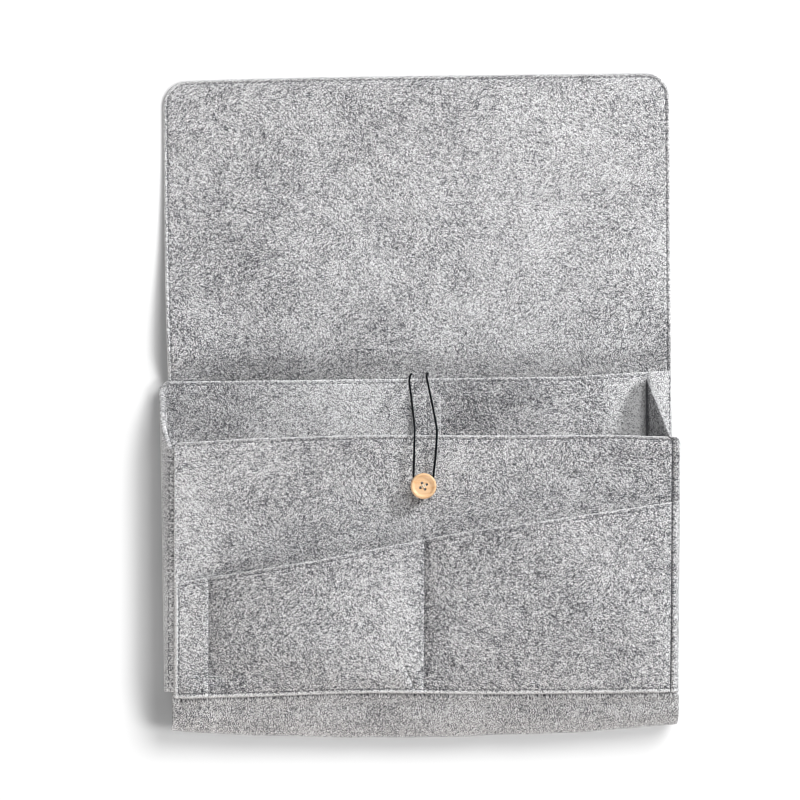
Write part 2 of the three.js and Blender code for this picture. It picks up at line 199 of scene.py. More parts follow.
# Front panel: droop of its upper corners, with its start and width in shares of half the panel; upper and
# lower corner radii; start and width of what shapes its upper edge, in shares of its height; share, seed,
# shortest and longest of its waves, and their fade at the edges
PANEL_DROOP = (1.6, 0.7, 0.3)
PANEL_CORNERS = (4.5, 2.0)
PANEL_UPPER = (0.6, 0.4)
PANEL_WAVE = 0.8
PANEL_WAVES = (23, 60, 200)
PANEL_WAVE_FADE = (8, 40)

# How the front hangs: its sag with its reach and the height where it is full, its slant and how that grows
# to the right, how far its right side lies in; bow of its lower edge by height, middle, width and fade; and
# rise of its upper edge all along and in the middle, with that one's place and width
SAG = 4.0
SAG_REACH = 0.1
SAG_FULL = 60
FRONT_SHEAR = 0.0145
FRONT_TAPER = 0.0055
FRONT_SHIFT = -0.9
FOOT_RISE = (2.0, -40.0, 65.0, 40.0)
FRONT_RISE = (2.2, 1.6, -32.0, 70.0)

# Mouth of the pleated pocket: its heights at both sides, the low rise of its line by place, and the dip of
# the front beside it on the left and the right, with its reach and its fade at the edges
POCKET_HEIGHTS = (77.0, 126.5)
MOUTH_RISE = ((-70, -15, 20, 35, 81, 135, 168), (0, 1.7, 2.9, 2.9, 2.0, 1.4, 1.0))
MOUTH_DIP = (1.5, 0.6)
MOUTH_DIP_REACH = 7.0
MOUTH_DIP_FADE = 10

# Pleats: inset of the pocket, places of the folds from the left, depth and pitch, and each one's climb in
# degrees with its bend and its level run
POCKET_INSET = 0.8
FOLD_FROM_LEFT = (23.0, 166.3)
PLEAT_DEPTH = 6.0
PLEAT_GAP = 0.3
PLEAT_PITCH = POCKET_FELT + PLEAT_GAP
CLIMBS = ((23.0, 2.0, 0.9), (6.0, 60.0, 0.0))

# How the first pleat's layers sink into the front: depth; start and width at the left; start and length of
# the way back; start and height at the foot; and how far past the mouth they end, and over what height
STACK_DIP = 3.8
STACK_START = (-160.5, 11.0)
STACK_FADE = (-141.0, 60.0)
STACK_FOOT = (4, 14)
STACK_END = (6, 14)

# The pocket's two faces: heights of their swells, of their springs past the fold with the reach, and the
# share of the pocket's height over which they rise
SWELLS = (10.0, 7.0)
SPRINGS = (3.2, 4.0)
SPRING_REACH = 8.0
SWELL_SHARE = 0.45

# Second pleat's foot: length of the climb where the seam holds it, and the heights where it is held and
# free
FOOT_HOLD = (11.0, 3.0, 14.0)

# Crease beside that foot: its place from the fold and at what height, its lean, half width and depth; its
# start with the fade in, and its end with the fade out; and its own grid lines across and up the face
FOOT_CREASE = (4.8, 5, 0.42, 0.85, 1.8)
FOOT_CREASE_SPAN = (3, 3, 26, 10)
FOOT_CREASE_ACROSS = (2.5, 16.5, 0.5)
FOOT_CREASE_UP = (0.03, 0.27, 0.008)

# Seams: how far each line of stitches lies from its edge
EDGE_SEAM = 2.5
LEFT_SEAM = 3.3
RIGHT_SEAM = 5.3
BOTTOM_SEAM = 3.4
STRIP_SEAM = 10.0

# Grid steps of the felt, in millimetres and degrees, points along a seam, and lines added at rims and seams
RUN_STEP = 2.4
BEND_STEP = 7.5
SHEET_STEP = 2.6
SEAM_POINTS = 240
RIM_LINES = np.array([0.0, 0.07, 0.26, 0.6, 1.1])
SEAM_LINES = np.array([-1.3, -0.75, -0.35, 0.0, 0.35, 0.75, 1.3])

# Power of the curve on which a cut edge is rounded
EDGE_POWER = 2.6

# Seams: share of the felt's half thickness that a seam pulls in, and that the margin beside it puffs up
SEAM_PINCH = 0.45
WALL_PINCH = 0.15
TOP_PINCH = 0.3
FLAP_PINCH = 0.36
RIGHT_PINCH = 0.9
RIGHT_GROOVE = 1.0
RIGHT_SINK = 1.1
MARGIN_PUFF = 0.16
GROOVE_WIDTH = 0.6
CUT_WIDTH = 0.8

# Painted highlight on the margins outside the seams, for the light their rolled edges catch: its share on the
# pleated pocket's left and lower margins and where it starts short of the seam, and its share on the flap's
# margins, strongest on the left, and how soft its edge is
MARGIN_PAINTED_LIGHT = 0.45
MARGIN_SHORT = 0.3
FLAP_MARGIN_PAINTED_LIGHT = 0.17
FLAP_MARGIN_BLUR = 0.8

# A stitch: where after its hole the thread comes up and how long it shows, in shares of the stitch, and how
# deep its ends sink and how thin they get, in shares of the thread
STITCH_START = 0.18
STITCH_SHOWN = 0.64
STITCH_SUNK = 0.72
STITCH_THIN = 0.45

# Rows of stitches: how far they stop short of a sheet's end, start up the strip, and lie from the right
# fold and from the left gusset's slant; how far past a pleat they start and before one they end; the shares
# of the height between which they run; and the height below which the fold lies, and how level the wall is
# there
SEAM_SHORT = 2
STRIP_START = 4
FOLD_SEAM = 2
SLANT_SEAM = 0.6
PLEAT_PAST = 9.5
PLEAT_BEFORE = 1
GUSSET_ROW = (0.02, 0.97)
LEFT_ROW = (0.03, 0.99)
RIGHT_ROW = (0.02, 0.99)
FOLD_BELOW = 12
WALL_LEVEL = 0.05

# Button's outline: share of the thickness where it is widest, share of the rim that the crown takes, radius
# of the lower edge, how far the lip slopes in, and the face's rise half way in and in the middle
BUTTON_WIDEST = 0.42
BUTTON_CROWN = 0.45
BUTTON_UNDER = 1.8
BUTTON_LIP = 0.4
BUTTON_DOME = (0.03, 0.05)

# The camera looks straight down; the photograph is turned a little and its middle lies left of the fold
CAMERA_HEIGHT = 12.0
CAMERA_SENSOR = 36.0
PHOTO_WIDTH = 532.2
PHOTO_MIDDLE = (-11.8, 196.4)
PHOTO_TURN = -0.0122

# Route of the elastic loop, out of one hole of the back sheet, round the button's shank and back
LOOP_ROUTE = np.array([
    [-3.9, 213.6, 0.4], [-3.9, 213.6, 2.4], [-4.1, 213.5, 5.0], [-4.8, 212.4, 7.8], [-5.4, 209.5, 10.6],
    [-4.1, 196.3, 24.8], [-2.9, 184.3, 37.8], [-2.4, 177.4, 45.3], [-2.4, 175.0, 47.6], [-2.5, 172.2, 48.8],
    [-2.7, 164.0, 48.8], [-3.1, 154.0, 48.6], [-3.4, 145.0, 48.6], [-3.4, 139.2, 48.6], [-1.5, 134.6, 48.6],
    [3.1, 132.7, 48.6], [7.7, 134.6, 48.6], [9.6, 139.2, 48.6], [9.8, 146.4, 48.6], [10.9, 155.0, 48.6],
    [11.8, 165.0, 48.8], [12.3, 172.2, 48.8], [12.4, 175.0, 47.6], [12.3, 177.4, 45.3], [10.7, 187.0, 34.9],
    [8.5, 198.9, 22.0], [6.5, 209.5, 10.6], [6.1, 212.2, 7.9], [6.6, 213.6, 5.6], [7.3, 213.6, 3.2],
    [7.3, 213.6, 0.4],
])

# Lamps that don't light the floor: azimuth and elevation in degrees, size in metres, level and colour
LAMP_DISTANCE = 2.0
LAMP_AIM = (0, 190, 20)
WHITE = (1.0, 1.0, 1.0)
LAMPS = {
    "key_softbox": (62, 56, 0.9, 0.32, WHITE),
    "side_softbox": (36, 25, 0.4, 0.42, WHITE),
    "fill_softbox": (245, 16, 0.8, 0.14, (1.0, 0.94, 0.89)),
}

# Even light on the floor alone: azimuth, elevation and spread in degrees, and level
WINDOWS = {"low_window": (-10, 58, 17, 0.34), "high_window": (44, 56, 28, 0.57)}

# Stage: the floor's half width and how far it lies below the part, in metres, its colour and its own glow
# where it is seen, the sky's level on the object, and the picture's filter in pixels
FLOOR_REACH = 20.0
FLOOR_DROP = 0.0002
PAPER = (0.8, 0.8, 0.8)
FLOOR_GLOW = 0.05
SKY_LEVEL = 0.36
PIXEL_FILTER = 1.1

# Layers of the felt's pattern: width in millimetres, detail and how strongly it tells. Flecks are drawn
# coarser than real fibres, so that they show: bundles 2.5 mm long and 0.42 mm wide, in four directions
GRAIN = (0.7, 2.0, 3.3)
FLECKS = (0.42, 0.0, 0.8)
FLECK_LENGTH = 6.0
FLECK_TURNS = (0.3, 1.1, 1.9, 2.7)
TUFTS = (2.2, 1.0, 0.7)
PATCHES = (7.0, 2.0, 0.55)
MIXING = (45.0, 1.0, 0.35)

# Painted highlight: how much paler the felt is painted at a cut edge; and painted shade: how much darker it
# is painted in a seam's groove
PAINTED_EDGE_HIGHLIGHT = 0.35
PAINTED_GROOVE_SHADE = 0.17

# Distance between two pieces' places in the felt's pattern
CUT_SPACING = 470.0

# Clouds in each sheet: middle, half widths and share. Most are tone where the fibres aren't evenly mixed;
# the ones marked below are painted light and shade
TONE_AND_LIGHT_CLOUDS = {
    "felt_back_sheet": (
        (100, 370, 60, 50, 0.07), (-105, 218, 60, 14, -0.04), (70, 222, 80, 14, 0.06),
        # painted shade on the flap's lifted left side, and painted light on its right side, which lies nearer
        # the lamps
        (-140, 285, 35, 50, -0.1), (100, 290, 80, 50, 0.05),
    ),
    "felt_pocket_wrap": (
        (-48, 193, 45, 40, 0.16), (-55, 208, 55, 10, 0.07), (38, 190, 30, 30, -0.12),
        # painted light over the leaf's shadow on the wall beside the right crease
        (147, 180, 6, 30, 0.5), (136, 180, 12, 26, 0.26),
    ),
    "felt_front_panel": ((-152, 130, 26, 60, 0.12), (-60, 125, 55, 30, -0.04), (150, 140, 25, 40, -0.14)),
    "felt_pleated_pocket": (
        (-15, 45, 20, 50, 0.12), (8, 45, 12, 60, -0.1), (-152, 40, 10, 70, 0.04), (-95, 45, 50, 60, -0.06),
        (55, 60, 60, 90, -0.09), (120, 60, 60, 90, -0.02),
    ),
    # painted light on the bottom gusset, standing for fill light from below
    "felt_bottom_gusset": ((60, -10, 150, 60, 0.05), (150, -10, 60, 60, 0.06)),
}

SURFACES = {}


def hex_colour(text):
    """An sRGB hex colour as linear red, green and blue."""
    channels = [int(text[i:i + 2], 16) / 255 for i in (1, 3, 5)]
    return tuple(c / 12.92 if c <= 0.04045 else ((c + 0.055) / 1.055) ** 2.4 for c in channels)


def length_property(name, description, millimetres):
    """A size that a user may change, in metres, given in millimetres."""
    return bpy.props.FloatProperty(
        name=name, description=description, default=millimetres * MM, min=0.0, precision=5, unit="LENGTH"
    )


def colour_property(name, description, text):
    """A colour that a user may change, given as sRGB hex."""
    return bpy.props.FloatVectorProperty(
        name=name, description=description, default=hex_colour(text),
        size=3, min=0.0, max=1.0, subtype="COLOR",
    )


class OrganizerSizes(bpy.types.PropertyGroup):
    """Sizes of the felt's shape, the stitches, the button and the loop."""

    edge_round: length_property("Edge rounding", "How far a cut felt edge is rounded in", 0.8)
    fold_lift: length_property("Fold lift", "How high the flap stands off the table beside the fold", 6.8)
    wave: length_property("Wave", "Height of the felt's long low waves", 0.5)
    wall_swell: length_property("Wall swell", "How far the pocket's back wall stands off the back sheet", 8.0)
    stitch_pitch: length_property("Stitch length", "Distance from one needle hole to the next", 3.7)
    thread_width: length_property("Thread width", "Thickness of the sewing thread", 0.7)
    loop_width: length_property("Loop thickness", "Diameter of the round elastic", 1.4)
    button_rim: length_property("Button rim", "Width of the button's raised rim", 2.5)
    button_dish: length_property("Button dish", "Depth of the dished face inside the rim", 1.4)


class OrganizerColours(bpy.types.PropertyGroup):
    """Colours of the felt's fibres, the wood, the threads and the elastic."""

    felt_dark: colour_property("Dark fibres", "Darkest fibres in the felt", "#2e2f35")
    felt_middle: colour_property("Middle fibres", "Most of the felt", "#a9a9ab")
    felt_light: colour_property("Light fibres", "Lightest fibres in the felt", "#eaeaeb")
    thread: colour_property("Seam thread", "Topstitching thread", "#5e5f64")
    pale_thread: colour_property(
        "Wall thread", "Thread along the flap and the back wall's top edge", "#6e6f73"
    )
    wood_light: colour_property("Light wood", "Pale wood between the grain lines", "#e6c096")
    wood_dark: colour_property("Dark wood", "Grain lines of the wood", "#dba874")
    button_thread: colour_property("Button thread", "Thread that holds the button", "#efe6d2")
    elastic: colour_property("Elastic", "Woven cover of the elastic", "#0e1015")


# Shapes

def smooth(value):
    """Smooth step: 3t^2 - 2t^3 of the value held between 0 and 1."""
    t = np.clip(value, 0.0, 1.0)
    return t * t * (3 - 2 * t)


def waves(x, y, seed, shortest, longest):
    """Sum of eight plane waves of seeded direction, length and phase, about -1 to 1 high."""
    rng = np.random.default_rng(seed)
    count = 8
    usual = 0.7
    turn = rng.uniform(0, math.pi, count)
    length = np.geomspace(shortest, longest, count)
    phase = rng.uniform(0, 2 * math.pi, count)
    along = x[..., None] * np.cos(turn) + y[..., None] * np.sin(turn)
    height = np.sin(2 * math.pi * along / length + phase) * (length / longest) ** 0.5
    return height.sum(axis=-1) / count ** 0.5 / usual


def grid_lines(length, step, seams=()):
    """Even lines across a length in millimetres, closer together at both rims and round each seam."""
    special = np.concatenate([RIM_LINES, length - RIM_LINES, *[seam + SEAM_LINES for seam in seams]])
    special = special[(special >= 0) & (special <= length)]
    even = np.linspace(0, length, max(2, round(length / step) + 1))
    clear = np.abs(even[:, None] - special).min(axis=1) > step / 3
    return np.unique(np.round(np.concatenate([special, even[clear]]), 3))


def quads(index):
    """The four-sided faces of a grid of vertex numbers."""
    corners = index[:-1, :-1], index[1:, :-1], index[1:, 1:], index[:-1, 1:]
    return np.stack(corners, axis=-1).reshape(-1, 4)


def felt_solid(middle, rim, thickness, rounding, pinch):
    """A closed felt sheet. Its two faces lie half the thickness to each side of the middle surface,
    along the normal; within the rounding of the rim that half falls to nothing on a superellipse,
    (1 - (1 - rim / rounding)^p)^(1 / p), and a seam pinches it by a share. The last value gives the kept
    vertices' numbers, with the lower face's after the upper's."""
    normal = np.cross(np.gradient(middle, axis=0), np.gradient(middle, axis=1))
    normal /= np.linalg.norm(normal, axis=2, keepdims=True)
    inward = np.clip(1 - rim / rounding, 0, 1)
    half = thickness / 2 * (1 - inward ** EDGE_POWER) ** (1 / EDGE_POWER) * (1 - pinch)
    top = middle + normal * half[..., None]
    bottom = middle - normal * half[..., None]
    upper = np.arange(rim.size).reshape(rim.shape)
    lower = upper + rim.size
    for edge in (np.s_[0, :], np.s_[-1, :], np.s_[:, 0], np.s_[:, -1]):
        lower[edge] = upper[edge]
    faces = np.concatenate([quads(upper), quads(lower)[:, ::-1]])
    used, faces = np.unique(faces, return_inverse=True)
    vertices = np.concatenate([top.reshape(-1, 3), bottom.reshape(-1, 3)])[used]
    return vertices, faces.reshape(-1, 4), top, normal, used


def flat_place(middle, drawn):
    """Where each point of a sheet lies in the flat felt that it was cut from: the lengths along the grid's
    two ways, of which the first is shorter by the share that the felt is drawn out there."""
    lengths = []
    for axis, longer in ((0, drawn), (1, 1.0)):
        steps = np.linalg.norm(np.diff(middle, axis=axis), axis=2) / longer
        first = np.zeros_like(np.take(steps, [0], axis=axis))
        lengths.append(np.cumsum(np.concatenate([first, steps], axis=axis), axis=axis))
    return np.stack(lengths, axis=-1)


def cloud_shade(name, middle):
    """Sum of a sheet's clouds: each is a share of exp(-((x - a) / p)^2 - ((y - b) / q)^2)."""
    x, y = middle[..., 0], middle[..., 1]
    shade = np.zeros_like(x)
    for a, b, p, q, share in TONE_AND_LIGHT_CLOUDS.get(name, ()):
        shade += share * np.exp(-((x - a) / p) ** 2 - ((y - b) / q) ** 2)
    return shade


def seam_pinch(distance, inset, depth=SEAM_PINCH, width=GROOVE_WIDTH):
    """Pinch of a seam that runs at an inset from an edge: a Gaussian groove at the inset, and a low
    Gaussian puff, which is a negative pinch, along the middle of the margin."""
    groove = depth * np.exp(-((distance - inset) / width) ** 2)
    puff = MARGIN_PUFF * np.exp(-((distance - inset / 2) / (inset / 3)) ** 2)
    return groove - puff


def strongest(pinches):
    """Of several seams' pinches at each point, the one furthest from nothing."""
    stack = np.stack(np.broadcast_arrays(*pinches))
    return np.take_along_axis(stack, np.abs(stack).argmax(axis=0)[None], axis=0)[0]


def sample(surface, u, v):
    """Points and normals of a kept surface at the parameters u and v, between its grid lines."""
    i = np.interp(u, surface["u"], np.arange(len(surface["u"])))
    j = np.interp(v, surface["v"], np.arange(len(surface["v"])))
    i0 = np.minimum(i.astype(int), len(surface["u"]) - 2)
    j0 = np.minimum(j.astype(int), len(surface["v"]) - 2)
    fi = (i - i0)[:, None]
    fj = (j - j0)[:, None]
    found = []
    for grid in (surface["top"], surface["normal"]):
        near = grid[i0, j0] * (1 - fj) + grid[i0, j0 + 1] * fj
        far = grid[i0 + 1, j0] * (1 - fj) + grid[i0 + 1, j0 + 1] * fj
        found.append(near * (1 - fi) + far * fi)
    return found


def section(start, heading, moves):
    """A strip's line in section: (None, length) is a straight run, and (radius, degrees) a round bend
    that turns left if it is positive. Each move starts at the heading where the last one ended."""
    steps = []
    angles = []
    for radius, amount in moves:
        if radius is None:
            count = max(1, round(amount / RUN_STEP))
            steps += [amount / count] * count
            angles += [heading] * count
            continue
        count = max(2, math.ceil(abs(amount) / BEND_STEP))
        turn = amount / count
        steps += [2 * radius * math.sin(math.radians(abs(turn)) / 2)] * count
        angles += [heading + turn * (k + 0.5) for k in range(count)]
        heading += amount
    angles = np.radians(angles)
    moved = np.array(steps)[:, None] * np.stack([np.cos(angles), np.sin(angles)], axis=1)
    return np.vstack([start, np.array(start) + np.cumsum(moved, axis=0)])


def bend_rise(radius, before, after):
    """How far a bend from one heading to another rises: r |cos(before) - cos(after)|."""
    return radius * abs(math.cos(math.radians(before)) - math.cos(math.radians(after)))


def run_lengths(points):
    """Length along a line of points, from 0 at the first."""
    return np.concatenate([[0.0], np.cumsum(np.linalg.norm(np.diff(points, axis=0), axis=1))])


def smooth_route(points, per_span=8):
    """A centripetal Catmull-Rom curve through the points: each span is blended from its four nearest
    points, with knots spaced by the square root of their distances."""
    padded = np.vstack([2 * points[0] - points[1], points, 2 * points[-1] - points[-2]])
    gaps = np.sqrt(np.linalg.norm(np.diff(padded, axis=0), axis=1))
    knots = np.concatenate([[0.0], np.cumsum(gaps)])[:, None, None]
    p = padded[:, None, :]
    t = np.linspace(knots[1:-2, 0], knots[2:-1, 0], per_span, endpoint=False, axis=1)
    k = [knots[i:len(knots) - 3 + i] for i in range(4)]
    q = [p[i:len(p) - 3 + i] for i in range(4)]

    def between(low, high, first, second):
        """The point at t on the line that is first at the knot low and second at the knot high."""
        return (high - t) / (high - low) * first + (t - low) / (high - low) * second

    a = [between(k[i], k[i + 1], q[i], q[i + 1]) for i in range(3)]
    b = [between(k[i], k[i + 2], a[i], a[i + 1]) for i in range(2)]
    curve = between(k[1], k[2], *b)
    return np.vstack([curve.reshape(-1, 3), points[-1]])


def tube(path, radius, sides):
    """A round tube along a path: rings of points at the radius about each path point, in a frame that
    is carried along by projecting the last side vector, with a flat cap at each end."""
    tangent = np.gradient(path, axis=0)
    tangent /= np.linalg.norm(tangent, axis=1, keepdims=True)
    side = np.empty_like(path)
    askew = [0.31, 0.87, 0.39]
    carried = np.cross(tangent[0], askew)
    for i, along in enumerate(tangent):
        carried = carried - along * np.dot(carried, along)
        carried = carried / np.linalg.norm(carried)
        side[i] = carried
    up = np.cross(tangent, side)
    angle = np.linspace(0, 2 * math.pi, sides, endpoint=False)
    ring = np.cos(angle)[:, None] * side[:, None, :] + np.sin(angle)[:, None] * up[:, None, :]
    vertices = path[:, None, :] + ring * np.broadcast_to(radius, len(path))[:, None, None]
    index = np.arange(len(path) * sides).reshape(len(path), sides)
    closed = np.concatenate([index, index[:, :1]], axis=1)
    faces = quads(closed)[:, ::-1].tolist() + [index[0].tolist(), index[-1, ::-1].tolist()]
    return vertices.reshape(-1, 3), faces


def turned(profile, centre, sides):
    """A solid of revolution about Z: a profile of (radius, height) carried round the centre, with its
    two ends on the axis as single points."""
    angle = np.linspace(0, 2 * math.pi, sides, endpoint=False)
    ring = np.stack([np.cos(angle), np.sin(angle)], axis=1)
    rings = np.concatenate([
        profile[1:-1, None, :1] * ring[None] + centre,
        np.broadcast_to(profile[1:-1, None, 1:], (len(profile) - 2, sides, 1)),
    ], axis=2)
    poles = [[*centre, profile[0, 1]], [*centre, profile[-1, 1]]]
    vertices = np.vstack([rings.reshape(-1, 3), poles])
    index = np.arange(rings.shape[0] * sides).reshape(-1, sides)
    closed = np.concatenate([index, index[:, :1]], axis=1)
    first, last = len(vertices) - 2, len(vertices) - 1
    faces = quads(closed)[:, ::-1].tolist()
    faces += [[first, b, a] for a, b in zip(closed[0, :-1].tolist(), closed[0, 1:].tolist())]
    faces += [[last, a, b] for a, b in zip(closed[-1, :-1].tolist(), closed[-1, 1:].tolist())]
    return vertices, faces


def joined(parts):
    """Several lists of vertices and faces as one."""
    vertices = np.vstack([part[0] for part in parts])
    starts = np.cumsum([0] + [len(part[0]) for part in parts[:-1]])
    faces = [[start + v for v in face] for start, part in zip(starts.tolist(), parts) for face in part[1]]
    return vertices, faces


def stitches(points, normals, pitch, width):
    """A row of stitches along a line on a surface: each is a thread that comes up at one needle hole,
    lies over the felt on a flattened sine arch and goes down just before the next hole."""
    rings = 7
    sides = 6
    along = run_lengths(points)
    count = max(1, int(along[-1] / pitch))
    share = np.linspace(0, 1, rings)
    place = (np.arange(count)[:, None] + STITCH_START + STITCH_SHOWN * share) * (along[-1] / count)
    line = np.stack([np.interp(place, along, points[:, k]) for k in range(3)], axis=-1)
    normal = np.stack([np.interp(place, along, normals[:, k]) for k in range(3)], axis=-1)
    arch = np.sin(math.pi * share) ** 0.5
    line = line + normal * ((arch - STITCH_SUNK) * width)[None, :, None]
    tangent = np.gradient(line, axis=1)
    tangent /= np.linalg.norm(tangent, axis=2, keepdims=True)
    side = np.cross(tangent, normal)
    side /= np.linalg.norm(side, axis=2, keepdims=True)
    up = np.cross(side, tangent)
    angle = np.linspace(0, 2 * math.pi, sides, endpoint=False)[:, None]
    radius = (width / 2 * (STITCH_THIN + (1 - STITCH_THIN) * arch))[None, :, None, None]
    ring = np.cos(angle) * side[:, :, None, :] + np.sin(angle) * up[:, :, None, :]
    vertices = line[:, :, None, :] + ring * radius
    index = np.arange(count * rings * sides).reshape(count, rings, sides)
    closed = np.concatenate([index, index[:, :, :1]], axis=2)
    corners = closed[:, :-1, :-1], closed[:, :-1, 1:], closed[:, 1:, 1:], closed[:, 1:, :-1]
    faces = np.stack(corners, axis=-1).reshape(-1, 4).tolist()
    faces += index[:, 0, ::-1].tolist() + index[:, -1].tolist()
    return vertices.reshape(-1, 3), faces


# Objects

def make_piece(name, vertices, faces, material, slot):
    """A smooth-shaded mesh object at the origin, from millimetres in the sheet's frame."""
    mesh = bpy.data.meshes.new(name)
    mesh.from_pydata((vertices * MM + ORIGIN).tolist(), [], [list(face) for face in faces])
    mesh.validate()
    mesh.shade_smooth()
    mesh.materials.append(material)
    piece = bpy.data.objects.new(name, mesh)
    bpy.context.scene.collection.objects.link(piece)
    return piece


def felt_piece(name, grid):
    """A felt sheet from its grid: u and v lines, middle surface, rim distance and thickness, and where they
    aren't even, pinch, the share of painted highlight at cut edges and of painted shade in grooves, shade,
    which is tone with painted light and shade, and how far the pattern is drawn out. Its upper face is kept
    for the stitches."""
    rounding = bpy.context.scene.organizer_sizes.edge_round / MM
    middle, rim = grid["middle"], grid["rim"]
    pinch = np.broadcast_to(grid.get("pinch", 0.0), rim.shape)
    vertices, faces, top, normal, used = felt_solid(middle, rim, grid["thickness"], rounding, pinch)
    piece = make_piece(name, vertices, faces.tolist(), felt_material("needled_grey_felt"), FELT_SLOT)
    # rim: painted highlight at cut edges; seam: painted shade in the seams' grooves; shade: tone clouds with
    # painted light and shade
    marks = {
        "rim": np.exp(-(rim / CUT_WIDTH) ** 2) * grid.get("pale", 1.0),
        "seam": (np.maximum(pinch, 0) / SEAM_PINCH) ** 2 * grid.get("pale", 1.0),
        "shade": grid.get("shade", 0.0) + cloud_shade(name, middle),
    }
    for mark, values in marks.items():
        layer = piece.data.attributes.new(mark, "FLOAT", "POINT")
        layer.data.foreach_set("value", np.tile(values.ravel(), 2)[used].astype(np.float32))
    flat = flat_place(middle, grid.get("drawn", 1.0)).reshape(-1, 2)
    flat = np.tile(flat, (2, 1)) + CUT_SPACING * len(SURFACES)
    side = np.repeat([grid["thickness"], 0.0], rim.size)
    place = np.column_stack([flat, side])[used] * MM
    layer = piece.data.attributes.new("felt_place", "FLOAT_VECTOR", "POINT")
    layer.data.foreach_set("vector", place.astype(np.float32).ravel())
    SURFACES[name] = {"u": grid["u"], "v": grid["v"], "top": top, "normal": normal, "middle": middle}
    return piece


def in_frame(x, y, z):
    """A point of the sheet's frame, in millimetres, as metres in the part's frame."""
    return tuple(np.array([x, y, z]) * MM + ORIGIN)


# Materials

def add_node(tree, kind, inputs=(), steps=(), **settings):
    """Adds one node with its settings; each input is a value, or a socket to link from, and steps are a
    colour ramp's places and linear colours."""
    node = tree.nodes.new(kind)
    for name, value in settings.items():
        setattr(node, name, value)
    for key, value in dict(inputs).items():
        socket = next(s for i, s in enumerate(node.inputs) if s.enabled and key in (s.name, i))
        if isinstance(value, bpy.types.NodeSocket):
            tree.links.new(value, socket)
        else:
            socket.default_value = value
    if steps:
        elements = node.color_ramp.elements
        while len(elements) < len(steps):
            elements.new(0.5)
        for element, (place, colour) in zip(elements, steps):
            element.position = place
            element.color = (*colour, 1.0)
    return node


def new_material(name):
    """An empty node material with its output, ready for a surface."""
    material = bpy.data.materials.new(name)
    material.use_nodes = True
    material.node_tree.nodes.clear()
    output = add_node(material.node_tree, "ShaderNodeOutputMaterial")
    return material, material.node_tree, output


def felt_material(name):
    """Needle-punched polyester felt: dark, middle and light fibres pressed to a matt mat. The eye sees
    sharp flecks of a few fibres each, lying every way, and soft cloudy patches. Cut edges get a painted
    highlight, paler for the light that loose fibre ends catch there, and the needle's groove gets painted
    shade, a little darker."""
    found = bpy.data.materials.get(name)
    if found:
        return found
    colours = bpy.context.scene.organizer_colours
    material, tree, output = new_material(name)
    place = add_node(tree, "ShaderNodeAttribute", attribute_name="felt_place").outputs["Vector"]
    layers = [(place, *GRAIN)]
    for turn in FLECK_TURNS:
        laid = add_node(tree, "ShaderNodeMapping", {
            "Vector": place, "Rotation": (0.0, 0.0, turn), "Scale": (FLECK_LENGTH, 1.0, 1.0),
        }, vector_type="TEXTURE").outputs["Vector"]
        layers.append((laid, *FLECKS))
    layers += [(place, *layer) for layer in (TUFTS, PATCHES, MIXING)]
    value = 0.5 - sum(layer[-1] for layer in layers) / 2
    for vector, width, detail, share in layers:
        noise = add_node(tree, "ShaderNodeTexNoise", {
            "Vector": vector, "Scale": 1 / (width * MM), "Detail": detail, "Roughness": 0.6,
        }).outputs["Fac"]
        value = add_node(tree, "ShaderNodeMath", {
            0: noise, 1: share, 2: value,
        }, operation="MULTIPLY_ADD").outputs[0]
    # The shade attribute: tone clouds, with painted light and shade from the margins, the wrap's faces and
    # some clouds
    shade = add_node(tree, "ShaderNodeAttribute", attribute_name="shade").outputs["Fac"]
    value = add_node(tree, "ShaderNodeMath", {0: value, 1: shade}, operation="ADD").outputs[0]
    toned = [tuple(c) for c in (colours.felt_dark, colours.felt_middle, colours.felt_light)]
    steps = list(zip((0.0, 0.5, 1.0), toned))
    fibres = add_node(tree, "ShaderNodeValToRGB", {"Fac": value}, steps).outputs["Color"]
    rim = add_node(tree, "ShaderNodeAttribute", attribute_name="rim").outputs["Fac"]
    seam = add_node(tree, "ShaderNodeAttribute", attribute_name="seam").outputs["Fac"]
    # Painted highlight at cut edges, mixed towards the light fibres, and painted shade in the seams' grooves,
    # mixed towards the dark fibres
    pale = add_node(tree, "ShaderNodeMath", {0: rim, 1: PAINTED_EDGE_HIGHLIGHT}, operation="MULTIPLY").outputs[0]
    groove_shade = add_node(tree, "ShaderNodeMath", {0: seam, 1: PAINTED_GROOVE_SHADE}, operation="MULTIPLY").outputs[0]
    cut = add_node(tree, "ShaderNodeMix", {
        "Factor": pale, "A": fibres, "B": (*toned[2], 1.0),
    }, data_type="RGBA").outputs[2]
    colour = add_node(tree, "ShaderNodeMix", {
        "Factor": groove_shade, "A": cut, "B": (*toned[0], 1.0),
    }, data_type="RGBA").outputs[2]
    bump = add_node(tree, "ShaderNodeBump", {"Height": value, "Strength": 0.6, "Distance": 0.4 * MM})
    surface = add_node(tree, "ShaderNodeBsdfPrincipled", {
        "Base Color": colour, "Normal": bump.outputs["Normal"], "Roughness": 0.95, "IOR": 1.5,
        "Specular IOR Level": 0.15, "Sheen Weight": 0.12, "Sheen Roughness": 0.6,
    })
    tree.links.new(surface.outputs["BSDF"], output.inputs["Surface"])
    return material


